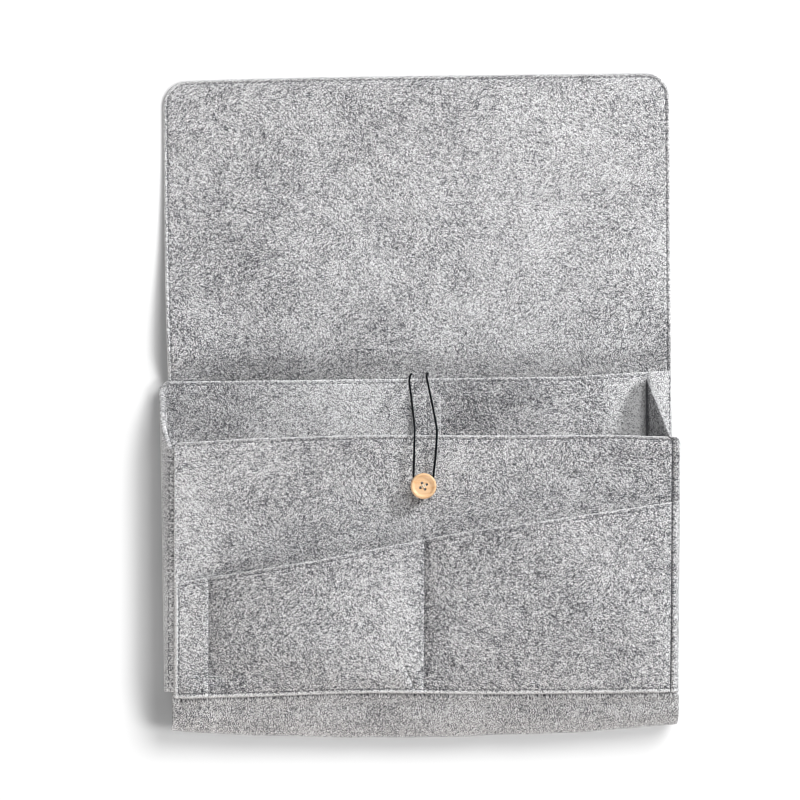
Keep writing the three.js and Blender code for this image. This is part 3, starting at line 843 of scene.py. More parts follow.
def thread_material(name, colour):
    """Twisted polyester sewing thread: a soft sheen and fine slanting plies, 0.5 mm apart."""
    material, tree, output = new_material(name)
    place = add_node(tree, "ShaderNodeTexCoord").outputs["Object"]
    ply = add_node(tree, "ShaderNodeTexWave", {
        "Vector": place, "Scale": 1 / (0.5 * MM) / (2 * math.pi), "Distortion": 1.0,
    }, wave_type="BANDS", bands_direction="DIAGONAL").outputs["Fac"]
    dark = tuple(0.72 * c for c in colour)
    steps = [(0.15, dark), (0.7, tuple(colour))]
    tinted = add_node(tree, "ShaderNodeValToRGB", {"Fac": ply}, steps).outputs["Color"]
    bump = add_node(tree, "ShaderNodeBump", {"Height": ply, "Strength": 0.4, "Distance": 0.1 * MM})
    surface = add_node(tree, "ShaderNodeBsdfPrincipled", {
        "Base Color": tinted, "Normal": bump.outputs["Normal"], "Roughness": 0.7, "Sheen Weight": 0.2,
    })
    tree.links.new(surface.outputs["BSDF"], output.inputs["Surface"])
    return material


def wood_material(name):
    """Sanded and waxed pale hardwood, turned: straight fine grain 1.2 mm apart across the face, faint
    darker streaks and a low satin shine."""
    colours = bpy.context.scene.organizer_colours
    material, tree, output = new_material(name)
    place = add_node(tree, "ShaderNodeTexCoord").outputs["Object"]
    laid = add_node(tree, "ShaderNodeMapping", {
        "Vector": place, "Rotation": (0.1, 0.2, 0.5),
        "Scale": (1 / (14 * MM), 1 / (1.2 * MM), 1 / (3 * MM)),
    }).outputs["Vector"]
    grain = add_node(tree, "ShaderNodeTexNoise", {
        "Vector": laid, "Scale": 1.0, "Detail": 3.0, "Roughness": 0.55, "Distortion": 0.4,
    }).outputs["Fac"]
    steps = [(0.28, tuple(colours.wood_dark)), (0.55, tuple(colours.wood_light))]
    colour = add_node(tree, "ShaderNodeValToRGB", {"Fac": grain}, steps).outputs["Color"]
    bump = add_node(tree, "ShaderNodeBump", {"Height": grain, "Strength": 0.15, "Distance": 0.08 * MM})
    surface = add_node(tree, "ShaderNodeBsdfPrincipled", {
        "Base Color": colour, "Normal": bump.outputs["Normal"], "Roughness": 0.42, "IOR": 1.5,
        "Coat Weight": 0.12, "Coat Roughness": 0.3,
    })
    tree.links.new(surface.outputs["BSDF"], output.inputs["Surface"])
    return material


def elastic_material(name):
    """Round elastic in a braided polyester cover: slanting yarns 0.6 mm apart both ways, on the cord's
    own map, where u goes once round and v counts cord diameters along."""
    colours = bpy.context.scene.organizer_colours
    material, tree, output = new_material(name)
    around = add_node(tree, "ShaderNodeUVMap", uv_map="cord").outputs["UV"]
    yarns = []
    for slant in (1.0, -1.0):
        laid = add_node(tree, "ShaderNodeMapping", {
            "Vector": around, "Rotation": (0.0, 0.0, slant * 0.9), "Scale": (9.0, 9.0, 1.0),
        }).outputs["Vector"]
        yarns.append(add_node(tree, "ShaderNodeTexWave", {
            "Vector": laid, "Scale": 0.5, "Distortion": 0.0,
        }, wave_type="BANDS", bands_direction="X").outputs["Fac"])
    braid = add_node(tree, "ShaderNodeMath", {0: yarns[0], 1: yarns[1]}, operation="MAXIMUM").outputs[0]
    dark = tuple(0.45 * c for c in colours.elastic)
    steps = [(0.45, dark), (0.95, tuple(colours.elastic))]
    colour = add_node(tree, "ShaderNodeValToRGB", {"Fac": braid}, steps).outputs["Color"]
    bump = add_node(tree, "ShaderNodeBump", {"Height": braid, "Strength": 0.5, "Distance": 0.15 * MM})
    surface = add_node(tree, "ShaderNodeBsdfPrincipled", {
        "Base Color": colour, "Normal": bump.outputs["Normal"], "Roughness": 0.8, "Specular IOR Level": 0.12,
    })
    tree.links.new(surface.outputs["BSDF"], output.inputs["Surface"])
    return material


# Back sheet and flap

def corner_lift(x, y):
    """How far the back sheet and the wall on it stand off the table at the left end of the fold: highest at
    the side, as exp(-(d / reach)^2), with a smooth step up to the fold and one down past it."""
    reach, low, full, past, flat = CORNER_REACH
    side = np.exp(-((x + SHEET_HALF) / reach) ** 2)
    return CORNER_LIFT * side * smooth((y - low) / (full - low)) * (1 - smooth((y - past) / (flat - past)))


def back_height(x, y):
    """Rise of the back sheet's middle surface: flat under the pocket, a straight climb past the fold that
    bends over at the crest with the slope 1 - (3t^2 - 2t^3), and a smooth step down to the table. The left
    side stands higher and settles later than the right one. The flap also has long low waves."""
    sizes = bpy.context.scene.organizer_sizes
    top = FLAP_HIGH[1]
    reach = y - FOLD[1]
    right = 0.5 + x / SHEET_HALF / 2
    start, bend, crest = FLAP_CLIMB
    t = np.clip((reach - bend) / (crest - bend), 0, 1)
    climb = np.clip(reach - start, 0, bend - start) + (crest - bend) * (t - t ** 3 + t ** 4 / 2)
    climb = climb / (bend - start + (crest - bend) / 2)
    flat = FLAP_SETTLE[0] + (FLAP_SETTLE[1] - FLAP_SETTLE[0]) * right
    settle = 1 - smooth((reach - crest) / (flat - crest))
    lift = sizes.fold_lift / MM * (1 + FLAP_TILT * (1 - 2 * right)) * climb * settle
    wave = sizes.wave / MM * climb * np.maximum(1 + waves(x, y, *FLAP_WAVES), 0)
    wave = wave * smooth((top - y) / FLAP_WAVE_FADE)
    return FELT / 2 + lift + wave + corner_lift(x, y)


def rounded_distance(x, y, half, bottom, top, lower, upper):
    """Distance in to the rim of a rectangle with round corners, of one radius below and one above."""
    side = half - np.abs(x)
    distance = np.minimum(side, np.minimum(y - bottom, top - y))
    for radius, edge in ((lower, y - bottom), (upper, top - y)):
        corner = (side < radius) & (edge < radius)
        rounded = radius - np.hypot(radius - side, radius - edge)
        distance = np.where(corner, rounded, distance)
    return np.maximum(distance, 0.0)


def corner_inset(edge, radius):
    """How far a round corner's outline lies in from the side, at a distance from the end edge."""
    within = np.clip(radius - edge, 0, radius)
    return radius - np.sqrt(radius ** 2 - within ** 2)


def cut_skew(x, y):
    """The sheet isn't cut quite square: its upper right corner lies a little out and up, by shares of x and
    y, and its left side a little in at the fold."""
    up = y / FLAP_HIGH[1]
    right = 0.5 + x / SHEET_HALF / 2
    moved_x = x + EDGE_OVER * up ** 2 + CORNER_OUT[0] * right * up + FOOT_IN * (1 - right) * (1 - up) ** 2
    moved_x = moved_x + FOLD_IN[0] * (1 - right) * np.exp(-np.maximum(y - FOLD[1], 0) / FOLD_IN[1])
    bow = EDGE_BOW * right * (1 - right) ** 2 * up ** 4
    return moved_x, y + CORNER_OUT[1] * right * up + bow


def back_sheet_grid():
    """Back sheet and flap in one: rows across at each height, drawn in to the round corners."""
    top = FLAP_HIGH[1]
    u = grid_lines(2 * SHEET_HALF, SHEET_STEP, (EDGE_SEAM, 2 * SHEET_HALF - EDGE_SEAM))
    v = grid_lines(top, SHEET_STEP, (top - EDGE_SEAM,))
    across, y = np.meshgrid(u - SHEET_HALF, v, indexing="ij")
    inset = corner_inset(top - y, FLAP_CORNER) + corner_inset(y, SHEET_CORNER)
    x = across * (SHEET_HALF - inset) / SHEET_HALF
    rim = rounded_distance(x, y, SHEET_HALF, 0.0, top, SHEET_CORNER, FLAP_CORNER)
    rim[[0, -1], :] = 0
    rim[:, [0, -1]] = 0
    pinch = seam_pinch(rim, EDGE_SEAM, FLAP_PINCH) * (y > WALL_HIGH[1])
    middle = np.stack([*cut_skew(x, y), back_height(x, y)], axis=-1)
    # Painted highlight on the flap's margins, full on the left side and gone on the right
    margin = smooth((EDGE_SEAM - rim) / FLAP_MARGIN_BLUR) * (0.5 - x / SHEET_HALF / 2) * (y > WALL_HIGH[1])
    return {
        "u": u, "v": v, "middle": middle, "rim": rim, "thickness": FELT, "pinch": pinch,
        "shade": FLAP_MARGIN_PAINTED_LIGHT * margin,
    }


# Pocket wrap: left gusset, back wall and right gusset in one strip

def wrap_sections():
    """The wrap's line in section, and where along it the top edge's slants begin and end."""
    lean = math.radians(LEFT_LEAN)
    wall_x = -LEFT_LOW[0] - FELT / 2 + LEFT_OUT
    start = -WALL_LOW[0] + PLY_GAP
    stand = [(None, wall_x - CORNER_BEND - start), (CORNER_BEND, -90), (None, LEFT_STAND)]
    climbed = WALL_MIDDLE + CORNER_BEND + LEFT_STAND + bend_rise(LEFT_LEAN_BEND, 90, LEFT_LEAN)
    rise = LAP_MIDDLE - climbed - bend_rise(LAP_BEND, LEFT_LEAN, 0)
    leaning = [(LEFT_LEAN_BEND, LEFT_LEAN - 90), (None, rise / math.sin(lean)), (LAP_BEND, -LEFT_LEAN)]
    stood = section((-start, WALL_MIDDLE), 180, stand[:-1])
    leant = section((-start, WALL_MIDDLE), 180, stand + leaning[:-1])
    bent = section((-start, WALL_MIDDLE), 180, stand + leaning)
    left = np.vstack([bent, [LEFT_HIGH[0], LAP_MIDDLE]])[::-1]
    lengths = run_lengths(bent)
    slant_end = (lengths[len(leant) - 1] + lengths[-1]) / 2
    left_marks = run_lengths(left)[-1] - np.array([slant_end, lengths[len(stood) - 1] - WALL_ROUND])

    fold_x = SHEET_HALF + FOLD_OUT - FELT / 2 - FOLD_BEND
    heading = 180 - TUCK_RISE
    sine, cosine = math.sin(math.radians(heading)), math.cos(math.radians(heading))
    reach = (fold_x + FOLD_BEND * sine - CREASE_X - CREASE_BEND * (1 - sine)) / -cosine
    tuck = [(None, fold_x - start), (FOLD_BEND, heading), (None, reach)]
    risen = WALL_MIDDLE + FOLD_BEND * (1 - cosine) + reach * sine
    risen = risen + bend_rise(CREASE_BEND, heading, RIGHT_LEAN)
    rise = LAP_MIDDLE - risen - bend_rise(LAP_BEND, RIGHT_LEAN, 0)
    slope = rise / math.sin(math.radians(RIGHT_LEAN))
    leaf = [(CREASE_BEND, RIGHT_LEAN - heading), (None, slope), (LAP_BEND, -RIGHT_LEAN)]
    tucked = section((start, WALL_MIDDLE), 0, tuck)
    right = section((start, WALL_MIDDLE), 0, tuck + leaf)
    wall = section((-start, WALL_MIDDLE), 0, [(None, 2 * start)])
    line = np.vstack([left[:-1], wall[:-1], right, [RIGHT_HIGH[0], LAP_MIDDLE]])
    before = run_lengths(left)[-1] + 2 * start
    right_marks = before + run_lengths(right)[[len(tucked) - 1, -1]]
    tuck_marks = before + run_lengths(tucked)[[-1 - round(reach / RUN_STEP), -1]]
    return line, np.concatenate([left_marks, right_marks]), tuck_marks


def wrap_grid():
    """The section line carried up the pocket, level at the wall and slanting down to the front panel's
    height on each gusset. The wall has a low parabolic arch, 4t(1 - t), to each side of the loop."""
    sizes = bpy.context.scene.organizer_sizes
    line, marks, tuck = wrap_sections()
    u = run_lengths(line)
    low, high = PANEL_HIGH[1] - LAP_DROP, WALL_HIGH[1]
    top = np.interp(u, marks, [low, high, high, low])
    end_rise, end_start, end_width = WALL_END_RISE
    top = top + end_rise * smooth((line[:, 0] - end_start) / end_width) * (top - low) / (high - low)
    foot = WALL_LOW[1]
    v = grid_lines(high - foot, SHEET_STEP, (high - foot - EDGE_SEAM,))
    share = v / v[-1]
    y = foot + (top[:, None] - foot) * share
    x = np.broadcast_to(line[:, :1], y.shape)
    z = np.broadcast_to(line[:, 1:], y.shape)
    on_wall = np.abs(z - WALL_MIDDLE) < WALL_FLAT
    raised = np.clip((z - WALL_HIGH[2]) / (LAP_MIDDLE - WALL_HIGH[2]), 0, 1)
    on_left = (u < marks[1])[:, None]
    x = front_shear(x, y, raised) + LEFT_TAPER * (1 - share) * (1 - raised) * on_left
    z = z + corner_lift(x, y) * (1 - raised)
    arch_start, arch_rise = ARCH_RISE
    for left, right, part in WALL_ARCHES:
        t = np.clip((x - left) / (right - left), 0, 1)
        arch = sizes.wall_swell / MM * part * on_wall * 4 * t * (1 - t)
        z = z + arch * smooth((y - arch_start) / arch_rise)
    rim = np.minimum(np.minimum(u, u[-1] - u)[:, None], np.minimum(y - foot, top[:, None] - y))
    rim = np.maximum(rim, 0.0)
    below = top[:, None] - y
    cut = CUT_PINCH * np.exp(-(below / CUT_REACH) ** 2) * ~on_left
    pinch = np.where(on_wall, seam_pinch(below, EDGE_SEAM, WALL_PINCH), cut)
    on_fold = ((u > tuck[0] - math.pi * FOLD_BEND) & (u <= tuck[0]))[:, None]
    # Painted light on the right gusset's tuck, which faces the lamps, and painted shade on the leaf's inner
    # face, which faces away from them
    shade = TUCK_PAINTED_LIGHT * ((u > tuck[0]) & (u < tuck[1])) + LEAF_PAINTED_SHADE * (u > tuck[1] + CREASE_BEND)
    # Painted shade: a dark line in the crease, where the leaf meets the wall
    shade = shade + CREASE_PAINTED_SHADE * np.exp(-((u - tuck[1] - CREASE_SHADE_LINE[0]) / CREASE_SHADE_LINE[1]) ** 2)
    return {
        "u": u, "v": share, "middle": np.stack([x, y, z], axis=-1), "rim": rim, "thickness": FELT,
        # painted light over the left gusset, which stands on the shaded side
        "pinch": pinch, "shade": shade[:, None] + LEFT_PAINTED_LIGHT * on_left, "marks": marks,
        # shares of painted highlight at cut edges and of painted shade in grooves, by part
        "pale": np.where(on_wall, WALL_PAINTED_EDGES, np.where(on_left, LEFT_PAINTED_EDGES, RIGHT_PAINTED_EDGES)),
        "drawn": np.where(on_left, LEFT_DRAWN, np.where(on_fold, FOLD_DRAWN, 1.0))[1:],
    }


def strip_grid():
    """The strip sewn down the back wall behind the loop: flat, lying on the wall."""
    wall = SURFACES["felt_pocket_wrap"]
    u = grid_lines(STRIP_HIGH[0] - STRIP_LOW[0], SHEET_STEP, (STRIP_SEAM,))
    v = grid_lines(STRIP_HIGH[1] - STRIP_LOW[1], SHEET_STEP)
    x, y = np.meshgrid(u + STRIP_LOW[0], v + STRIP_LOW[1], indexing="ij")
    column = np.abs(wall["middle"][:, 0, 0]) < STRIP_BED
    column &= np.abs(wall["middle"][:, 0, 2] - WALL_MIDDLE) < FELT
    rows = wall["middle"][column]
    rise = np.interp(x, rows[:, -1, 0], rows[:, -1, 2]) + (FELT + POCKET_FELT) / 2 + PLY_GAP
    rim = np.minimum(np.minimum(u, u[-1] - u)[:, None], np.minimum(v, v[-1] - v)[None, :])
    groove = SEAM_PINCH * np.exp(-((u - STRIP_SEAM) / GROOVE_WIDTH) ** 2)
    pinch = groove[:, None] * np.ones_like(x)
    return {
        "u": u, "v": v, "middle": np.stack([x, y, rise], axis=-1), "rim": rim,
        "thickness": POCKET_FELT, "pinch": pinch,
    }


# Bottom gusset

def bottom_grid():
    """The bottom gusset: a superellipse that bows out between two flat laps, deepest in the middle of the
    strip. Along the strip the bow is low + (high - low)(1 - s^2), with s from -1 to 1, and the strip
    moves over with the front panel as it rises."""
    half_height = (LAP_MIDDLE - WALL_MIDDLE) / 2
    shift = (PANEL_LOW[0] + PANEL_HIGH[0]) / 2
    half_length = (PANEL_HIGH[0] - PANEL_LOW[0]) / 2 - BOTTOM_INSET
    columns, rows = BOTTOM_LINES
    s = np.unique(np.concatenate([np.linspace(-1, 1, columns), BOTTOM_ENDS, -BOTTOM_ENDS]))
    angle = np.linspace(-math.pi / 2, math.pi / 2, rows)[:, None]
    middle = 1 - s ** 2
    bow = BOTTOM_BOW[0] + (BOTTOM_BOW[1] - BOTTOM_BOW[0]) * middle
    power = 2 / (BOTTOM_ROUND[0] + (BOTTOM_ROUND[1] - BOTTOM_ROUND[0]) * middle)
    sine = np.sin(angle)
    z = WALL_MIDDLE + half_height * (1 + np.sign(sine) * np.abs(sine) ** power)
    y = -bow * np.maximum(np.cos(angle), 0) ** power
    y = y + BOTTOM_WAVE * waves(s * half_length, z, *BOTTOM_WAVES) * np.cos(angle) ** 2
    lap_rows = np.linspace(BOTTOM_HIGH[1], *BOTTOM_LAP)[:, None] * np.ones_like(s)
    y = np.vstack([lap_rows, y, lap_rows[::-1]])
    z = np.vstack([np.full_like(lap_rows, WALL_MIDDLE), z, np.full_like(lap_rows, LAP_MIDDLE)])
    rise = (z - WALL_MIDDLE) / (2 * half_height)
    upper = smooth((rise - 0.5) * 2)
    x = front_shear((1 + upper) / 2 * shift + s * half_length, y, rise)
    x = x - BOTTOM_SPREAD[0] * np.clip(-s, 0, 1) + BOTTOM_SPREAD[1] * np.clip(s, 0, 1)
    swell, place, reach = BOTTOM_FULL
    z = z + swell * np.exp(-((y - place) / reach) ** 2) * upper * (y <= 0)
    y = y + foot_rise(x, 0.0) * upper
    points = np.stack([x, y, z], axis=-1)
    along = np.linalg.norm(np.diff(points, axis=0), axis=2).mean(axis=1)
    u = np.concatenate([[0.0], np.cumsum(along)])
    rim = np.minimum(np.minimum(u, u[-1] - u)[:, None], (half_length * (1 - np.abs(s)))[None, :])
    return {"u": u, "v": s, "middle": points, "rim": rim, "thickness": FELT, "drawn": BOTTOM_DRAWN}


# Front panel and pleated pocket

def front_share(x):
    """How far across the front a place lies, from 0 at its left side to 1 at its right."""
    return (x - PANEL_LOW[0]) / (PANEL_HIGH[0] - PANEL_LOW[0])


def front_shear(x, y, share=1.0):
    """The front hangs a little askew: it moves over by a share of its height above its middle, which grows
    to the right, and its right side lies a little in."""
    right = front_share(x)
    slant = FRONT_SHEAR + FRONT_TAPER * right
    return x + share * (slant * (y - PANEL_HIGH[1] / 2) + FRONT_SHIFT * right)


def foot_rise(x, y):
    """How far the front's lower edge bows up in the middle: a share of exp(-((x - a) / p)^2), which fades out
    over the front's lower part."""
    height, middle, width, fade = FOOT_RISE
    return height * np.exp(-((x - middle) / width) ** 2) * (1 - smooth(y / fade))


def top_rise(x):
    """How far the front's upper edge stands above its solid's: all along, and more in the middle, as
    exp(-((x - a) / p)^2)."""
    height, bow, middle, width = FRONT_RISE
    return height + bow * np.exp(-((x - middle) / width) ** 2)


def front_sag(x, y):
    """How far the front sinks between its seams: fast beside the left seam, as 1 - e^(-t / reach), and back
    up slowly to the right, as 1 - t."""
    t = front_share(x)
    return SAG * (1 - np.exp(-t / SAG_REACH)) * (1 - t) * smooth(y / SAG_FULL)


def panel_grid():
    """The front panel: a sheet that sags a little and whose upper corners droop, pinched along its seams."""
    sizes = bpy.context.scene.organizer_sizes
    width = PANEL_HIGH[0] - PANEL_LOW[0]
    height = PANEL_HIGH[1]
    u = grid_lines(width, SHEET_STEP, (LEFT_SEAM, width - RIGHT_SEAM))
    v = grid_lines(height, SHEET_STEP, (BOTTOM_SEAM, height - EDGE_SEAM))
    across, up = np.meshgrid(u, v, indexing="ij")
    share = 2 * across / width - 1
    depth, droop_start, droop_width = PANEL_DROOP
    droop = depth * smooth((np.abs(share) - droop_start) / droop_width)
    inset = corner_inset(height - up, PANEL_CORNERS[0]) + corner_inset(up, PANEL_CORNERS[1])
    x = (PANEL_LOW[0] + PANEL_HIGH[0]) / 2 + share * (width / 2 - inset)
    y = up + (top_rise(x) - droop) * smooth((up / height - PANEL_UPPER[0]) / PANEL_UPPER[1])
    y = y + foot_rise(x, y)
    x = front_shear(x, y)
    edge = np.minimum(np.minimum(across, width - across), np.minimum(up, height - up))
    wave = sizes.wave / MM * PANEL_WAVE * waves(x, y, *PANEL_WAVES)
    wave = wave * smooth((edge - PANEL_WAVE_FADE[0]) / PANEL_WAVE_FADE[1])
    above = (y - mouth_height(x)) / MOUTH_DIP_REACH
    dip = (MOUTH_DIP[0] + (MOUTH_DIP[1] - MOUTH_DIP[0]) * across / width) * np.exp(-above ** 2)
    dip = dip * smooth(edge / MOUTH_DIP_FADE)
    dip = dip + stack_dip(x, y) * smooth((mouth_height(x) + STACK_END[0] - y) / STACK_END[1])
    z = (PANEL_LOW[2] + PANEL_HIGH[2]) / 2 + wave - dip - front_sag(x, y)
    pinch = strongest([
        seam_pinch(across, LEFT_SEAM) * (up < POCKET_HEIGHTS[0]),
        seam_pinch(width - across, RIGHT_SEAM, RIGHT_PINCH, RIGHT_GROOVE),
        seam_pinch(up, BOTTOM_SEAM),
        seam_pinch(height - up, EDGE_SEAM, TOP_PINCH),
    ])
    return {
        "u": u, "v": v, "middle": np.stack([x, y, z], axis=-1), "rim": edge, "thickness": FELT,
        "pinch": pinch,
    }


def mouth_height(x):
    """Height of the pocket's slanted mouth: a straight line with a low rise past the second pleat."""
    share = front_share(x)
    return POCKET_HEIGHTS[0] + (POCKET_HEIGHTS[1] - POCKET_HEIGHTS[0]) * share + np.interp(x, *MOUTH_RISE)


def stack_dip(x, y):
    """How far the layers of the first pleat sink into the front: a smooth step down beside the left seam and
    a long one back up to the right, from the bottom seam up."""
    start, width = STACK_START
    fade, length = STACK_FADE
    dip = STACK_DIP * smooth((x - start) / width) * (1 - smooth((x - fade) / length))
    return dip * smooth((y - STACK_FOOT[0]) / STACK_FOOT[1])


def pocket_section():
    """The pleated pocket's line in section, with the lengths along it where each pleat's fold, return
    and new face begin."""
    left = PANEL_LOW[0] + POCKET_INSET
    right = PANEL_HIGH[0] - POCKET_INSET
    moves = []
    marks = []
    start = (left, PANEL_HIGH[2] + PLY_GAP + POCKET_FELT / 2)
    for fold_from_left, (climb, bend, level) in zip(FOLD_FROM_LEFT, CLIMBS):
        at = section(start, 0, moves)[-1] if moves else np.array(start)
        sine = math.sin(math.radians(climb))
        slope = (2 * PLEAT_PITCH - 2 * bend_rise(bend, 0, climb)) / sine
        reach = slope * math.cos(math.radians(climb)) + 2 * bend * sine
        fold_start = PANEL_LOW[0] + fold_from_left - POCKET_FELT / 2 - PLEAT_PITCH / 2
        lead = fold_start - PLEAT_DEPTH - PLEAT_PITCH / 2 - level - reach - at[0]
        moves += [(None, lead), (bend, climb), (None, slope), (bend, -climb)]
        moves += [(None, fold_start - section(start, 0, moves)[-1][0])]
        for turn in ([], [(PLEAT_PITCH / 2, -180)], [(None, PLEAT_DEPTH), (PLEAT_PITCH / 2, 180)]):
            moves += turn
            marks.append(run_lengths(section(start, 0, moves))[-1])
    moves += [(None, right - section(start, 0, moves)[-1][0])]
    return section(start, 0, moves), marks


def pocket_swell(u, marks, total):
    """How far each face stands off the panel at the mouth. Past its fold it springs up as 1 - e^(-d / reach)
    and opens as 1 - (1 - p)^3; it closes to the next fold as 1 - p^3, or to the right seam as 1 - p^4."""
    swell = np.zeros_like(u)
    ends = ((marks[2], marks[3], 3), (marks[5], total, 4))
    for height, spring, (low, high, power) in zip(SWELLS, SPRINGS, ends):
        low = low + PLEAT_DEPTH + POCKET_FELT / 2
        p = np.clip((u - low) / (high - low), 0, 1)
        shape = (1 - (1 - p) ** 3) * (1 - p ** power)
        sprung = (1 - np.exp(-p * (high - low) / SPRING_REACH)) * (1 - p ** power)
        swell += height * shape / shape.max() + spring * sprung
    return swell


def fold_lean(u, swell, marks):
    """Drop of the second pleat's turn by the slope with which its face comes to it, so that no valley is
    left: slope r sin a (1 + cos a) / 2 at an angle a of the turn."""
    radius = PLEAT_PITCH / 2
    angle = np.clip((u - marks[3]) / radius, 0, math.pi)
    slope = np.interp(marks[3] - radius, u, swell) / radius
    return slope * radius * np.sin(angle) * (1 + np.cos(angle)) / 2


def foot_held(u, rise, marks, y):
    """Rise of the section where the bottom seam holds it: the long climb to the second pleat is short and
    steep at the foot, and a smooth step up the face brings its full length back."""
    length, held, free = FOOT_HOLD
    end = marks[3] - PLEAT_DEPTH - PLEAT_PITCH
    climbing = (u > marks[2] + PLEAT_DEPTH + POCKET_FELT) & (u < end)
    base = np.interp(marks[2] + PLEAT_DEPTH + POCKET_FELT, u, rise)
    steep = base + (np.interp(end, u, rise) - base) * smooth((u - end + length) / length)
    hold = 1 - smooth((y - held) / (free - held))
    return rise[:, None] + hold * (np.where(climbing, steep, rise) - rise)[:, None]


def foot_crease(u, marks, y):
    """Depth of the crease that runs up from the second pleat's foot on a slanted line: exp(-(d / width)^2) to
    each side of it, with a smooth step at each end."""
    foot, level, lean, width, depth = FOOT_CREASE
    start, fade_in, end, fade_out = FOOT_CREASE_SPAN
    beside = (marks[3] - foot - u)[:, None] - lean * (y - level)
    crease = np.exp(-(beside / width) ** 2) * smooth((end - y) / fade_out) * smooth((y - start) / fade_in)
    return depth * crease * (u < marks[3])[:, None]


def pocket_grid():
    """The pleated pocket: its section carried up from the bottom seam to the slanted mouth, with each face
    swelling as sin(pi/2 t) over the lower part, and a crease that runs up from the second pleat's foot."""
    line, marks = pocket_section()
    coarse = run_lengths(line)
    seams = (LEFT_SEAM - POCKET_INSET, coarse[-1] - RIGHT_SEAM + POCKET_INSET)
    creased = marks[3] - np.arange(*FOOT_CREASE_ACROSS)
    u = np.unique(np.round(np.concatenate([coarse, creased, *[seam + SEAM_LINES for seam in seams]]), 3))
    x, rise = [np.interp(u, coarse, line[:, axis]) for axis in (0, 1)]
    top = mouth_height(x)
    nominal = 100.0
    v = grid_lines(nominal, SHEET_STEP, (BOTTOM_SEAM, nominal - EDGE_SEAM)) / nominal
    v = np.unique(np.round(np.concatenate([v, np.arange(*FOOT_CREASE_UP)]), 5))
    y = POCKET_INSET + (top[:, None] - POCKET_INSET) * v
    lift = np.sin(math.pi / 2 * np.minimum(1, v / SWELL_SHARE))
    swell = pocket_swell(u, marks, u[-1])
    swell = (swell - fold_lean(u, swell, marks))[:, None] * lift
    z = foot_held(u, rise, marks, y) + swell - front_sag(x[:, None], y) - stack_dip(x[:, None], y)
    z = z - foot_crease(u, marks, y)
    edge = np.minimum(np.minimum(u, u[-1] - u)[:, None], np.minimum(y - POCKET_INSET, top[:, None] - y))
    rim = np.maximum(edge, 0.0)
    pinch = strongest([
        seam_pinch(y - POCKET_INSET, BOTTOM_SEAM - POCKET_INSET),
        seam_pinch(top[:, None] - y, EDGE_SEAM),
        seam_pinch(u[:, None], LEFT_SEAM - POCKET_INSET),
        seam_pinch((u[-1] - u)[:, None], RIGHT_SEAM - POCKET_INSET, RIGHT_PINCH, RIGHT_GROOVE),
    ])
    sink = np.exp(-((u[-1] - u - RIGHT_SEAM + POCKET_INSET) / RIGHT_GROOVE) ** 2)
    z = z - RIGHT_SINK * sink[:, None]
    points = np.stack([front_shear(x[:, None], y), y + foot_rise(x[:, None], y), z], axis=-1)
    # Painted highlight on the pocket's left and lower margins
    left_margin = smooth(LEFT_SEAM - POCKET_INSET - MARGIN_SHORT - u)[:, None]
    foot_margin = smooth(BOTTOM_SEAM - POCKET_INSET - MARGIN_SHORT - (y - POCKET_INSET))
    grid = {
        "u": u, "v": v, "middle": points, "rim": rim, "thickness": POCKET_FELT, "pinch": pinch,
        "shade": MARGIN_PAINTED_LIGHT * np.maximum(left_margin, foot_margin),
    }
    return grid, marks, top


class OrganizerPiece:
    """What the operators that build a piece share."""

    bl_options = {"REGISTER", "UNDO"}


class ORGANIZER_OT_back_sheet(OrganizerPiece, bpy.types.Operator):
    """Back sheet and flap: one felt sheet that bends at the fold"""

    bl_idname = "organizer.back_sheet"
    bl_label = "Back sheet and flap"

    def execute(self, context):
        piece = felt_piece("felt_back_sheet", back_sheet_grid())
        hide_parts("back_panel", "flap")
        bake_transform(piece)
        return {"FINISHED"}


class ORGANIZER_OT_pocket_wrap(OrganizerPiece, bpy.types.Operator):
    """Back wall with both side gussets, and the sewn strip"""

    bl_idname = "organizer.pocket_wrap"
    bl_label = "Pocket wall and gussets"

    def execute(self, context):
        grid = wrap_grid()
        wrap = felt_piece("felt_pocket_wrap", grid)
        SURFACES["felt_pocket_wrap"].update(marks=grid["marks"])
        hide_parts("pocket_back_wall", "left_gusset", "right_gusset")
        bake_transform(wrap)
        strip = felt_piece("felt_inner_strip", strip_grid())
        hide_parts("inner_strip")
        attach(strip, BACK)
        return {"FINISHED"}


class ORGANIZER_OT_bottom_gusset(OrganizerPiece, bpy.types.Operator):
    """Bottom gusset: a felt strip that bows out below the front panel"""

    bl_idname = "organizer.bottom_gusset"
    bl_label = "Bottom gusset"

    def execute(self, context):
        grid = bottom_grid()
        piece = felt_piece("felt_bottom_gusset", grid)
        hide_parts("bottom_gusset")
        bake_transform(piece)
        return {"FINISHED"}


class ORGANIZER_OT_front_panel(OrganizerPiece, bpy.types.Operator):
    """Front panel of the main pocket"""

    bl_idname = "organizer.front_panel"
    bl_label = "Front panel"

    def execute(self, context):
        piece = felt_piece("felt_front_panel", panel_grid())
        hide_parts("front_panel")
        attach(piece, FRONT)
        return {"FINISHED"}


class ORGANIZER_OT_pleated_pocket(OrganizerPiece, bpy.types.Operator):
    """Pleated pocket: one thinner felt sheet with a slanted mouth and two knife pleats"""

    bl_idname = "organizer.pleated_pocket"
    bl_label = "Pleated pocket"

    def execute(self, context):
        grid, marks, top = pocket_grid()
        piece = felt_piece("felt_pleated_pocket", grid)
        SURFACES["felt_pleated_pocket"].update(marks=marks, mouth=top)
        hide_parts("pleated_pocket")
        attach(piece, FRONT)
        return {"FINISHED"}


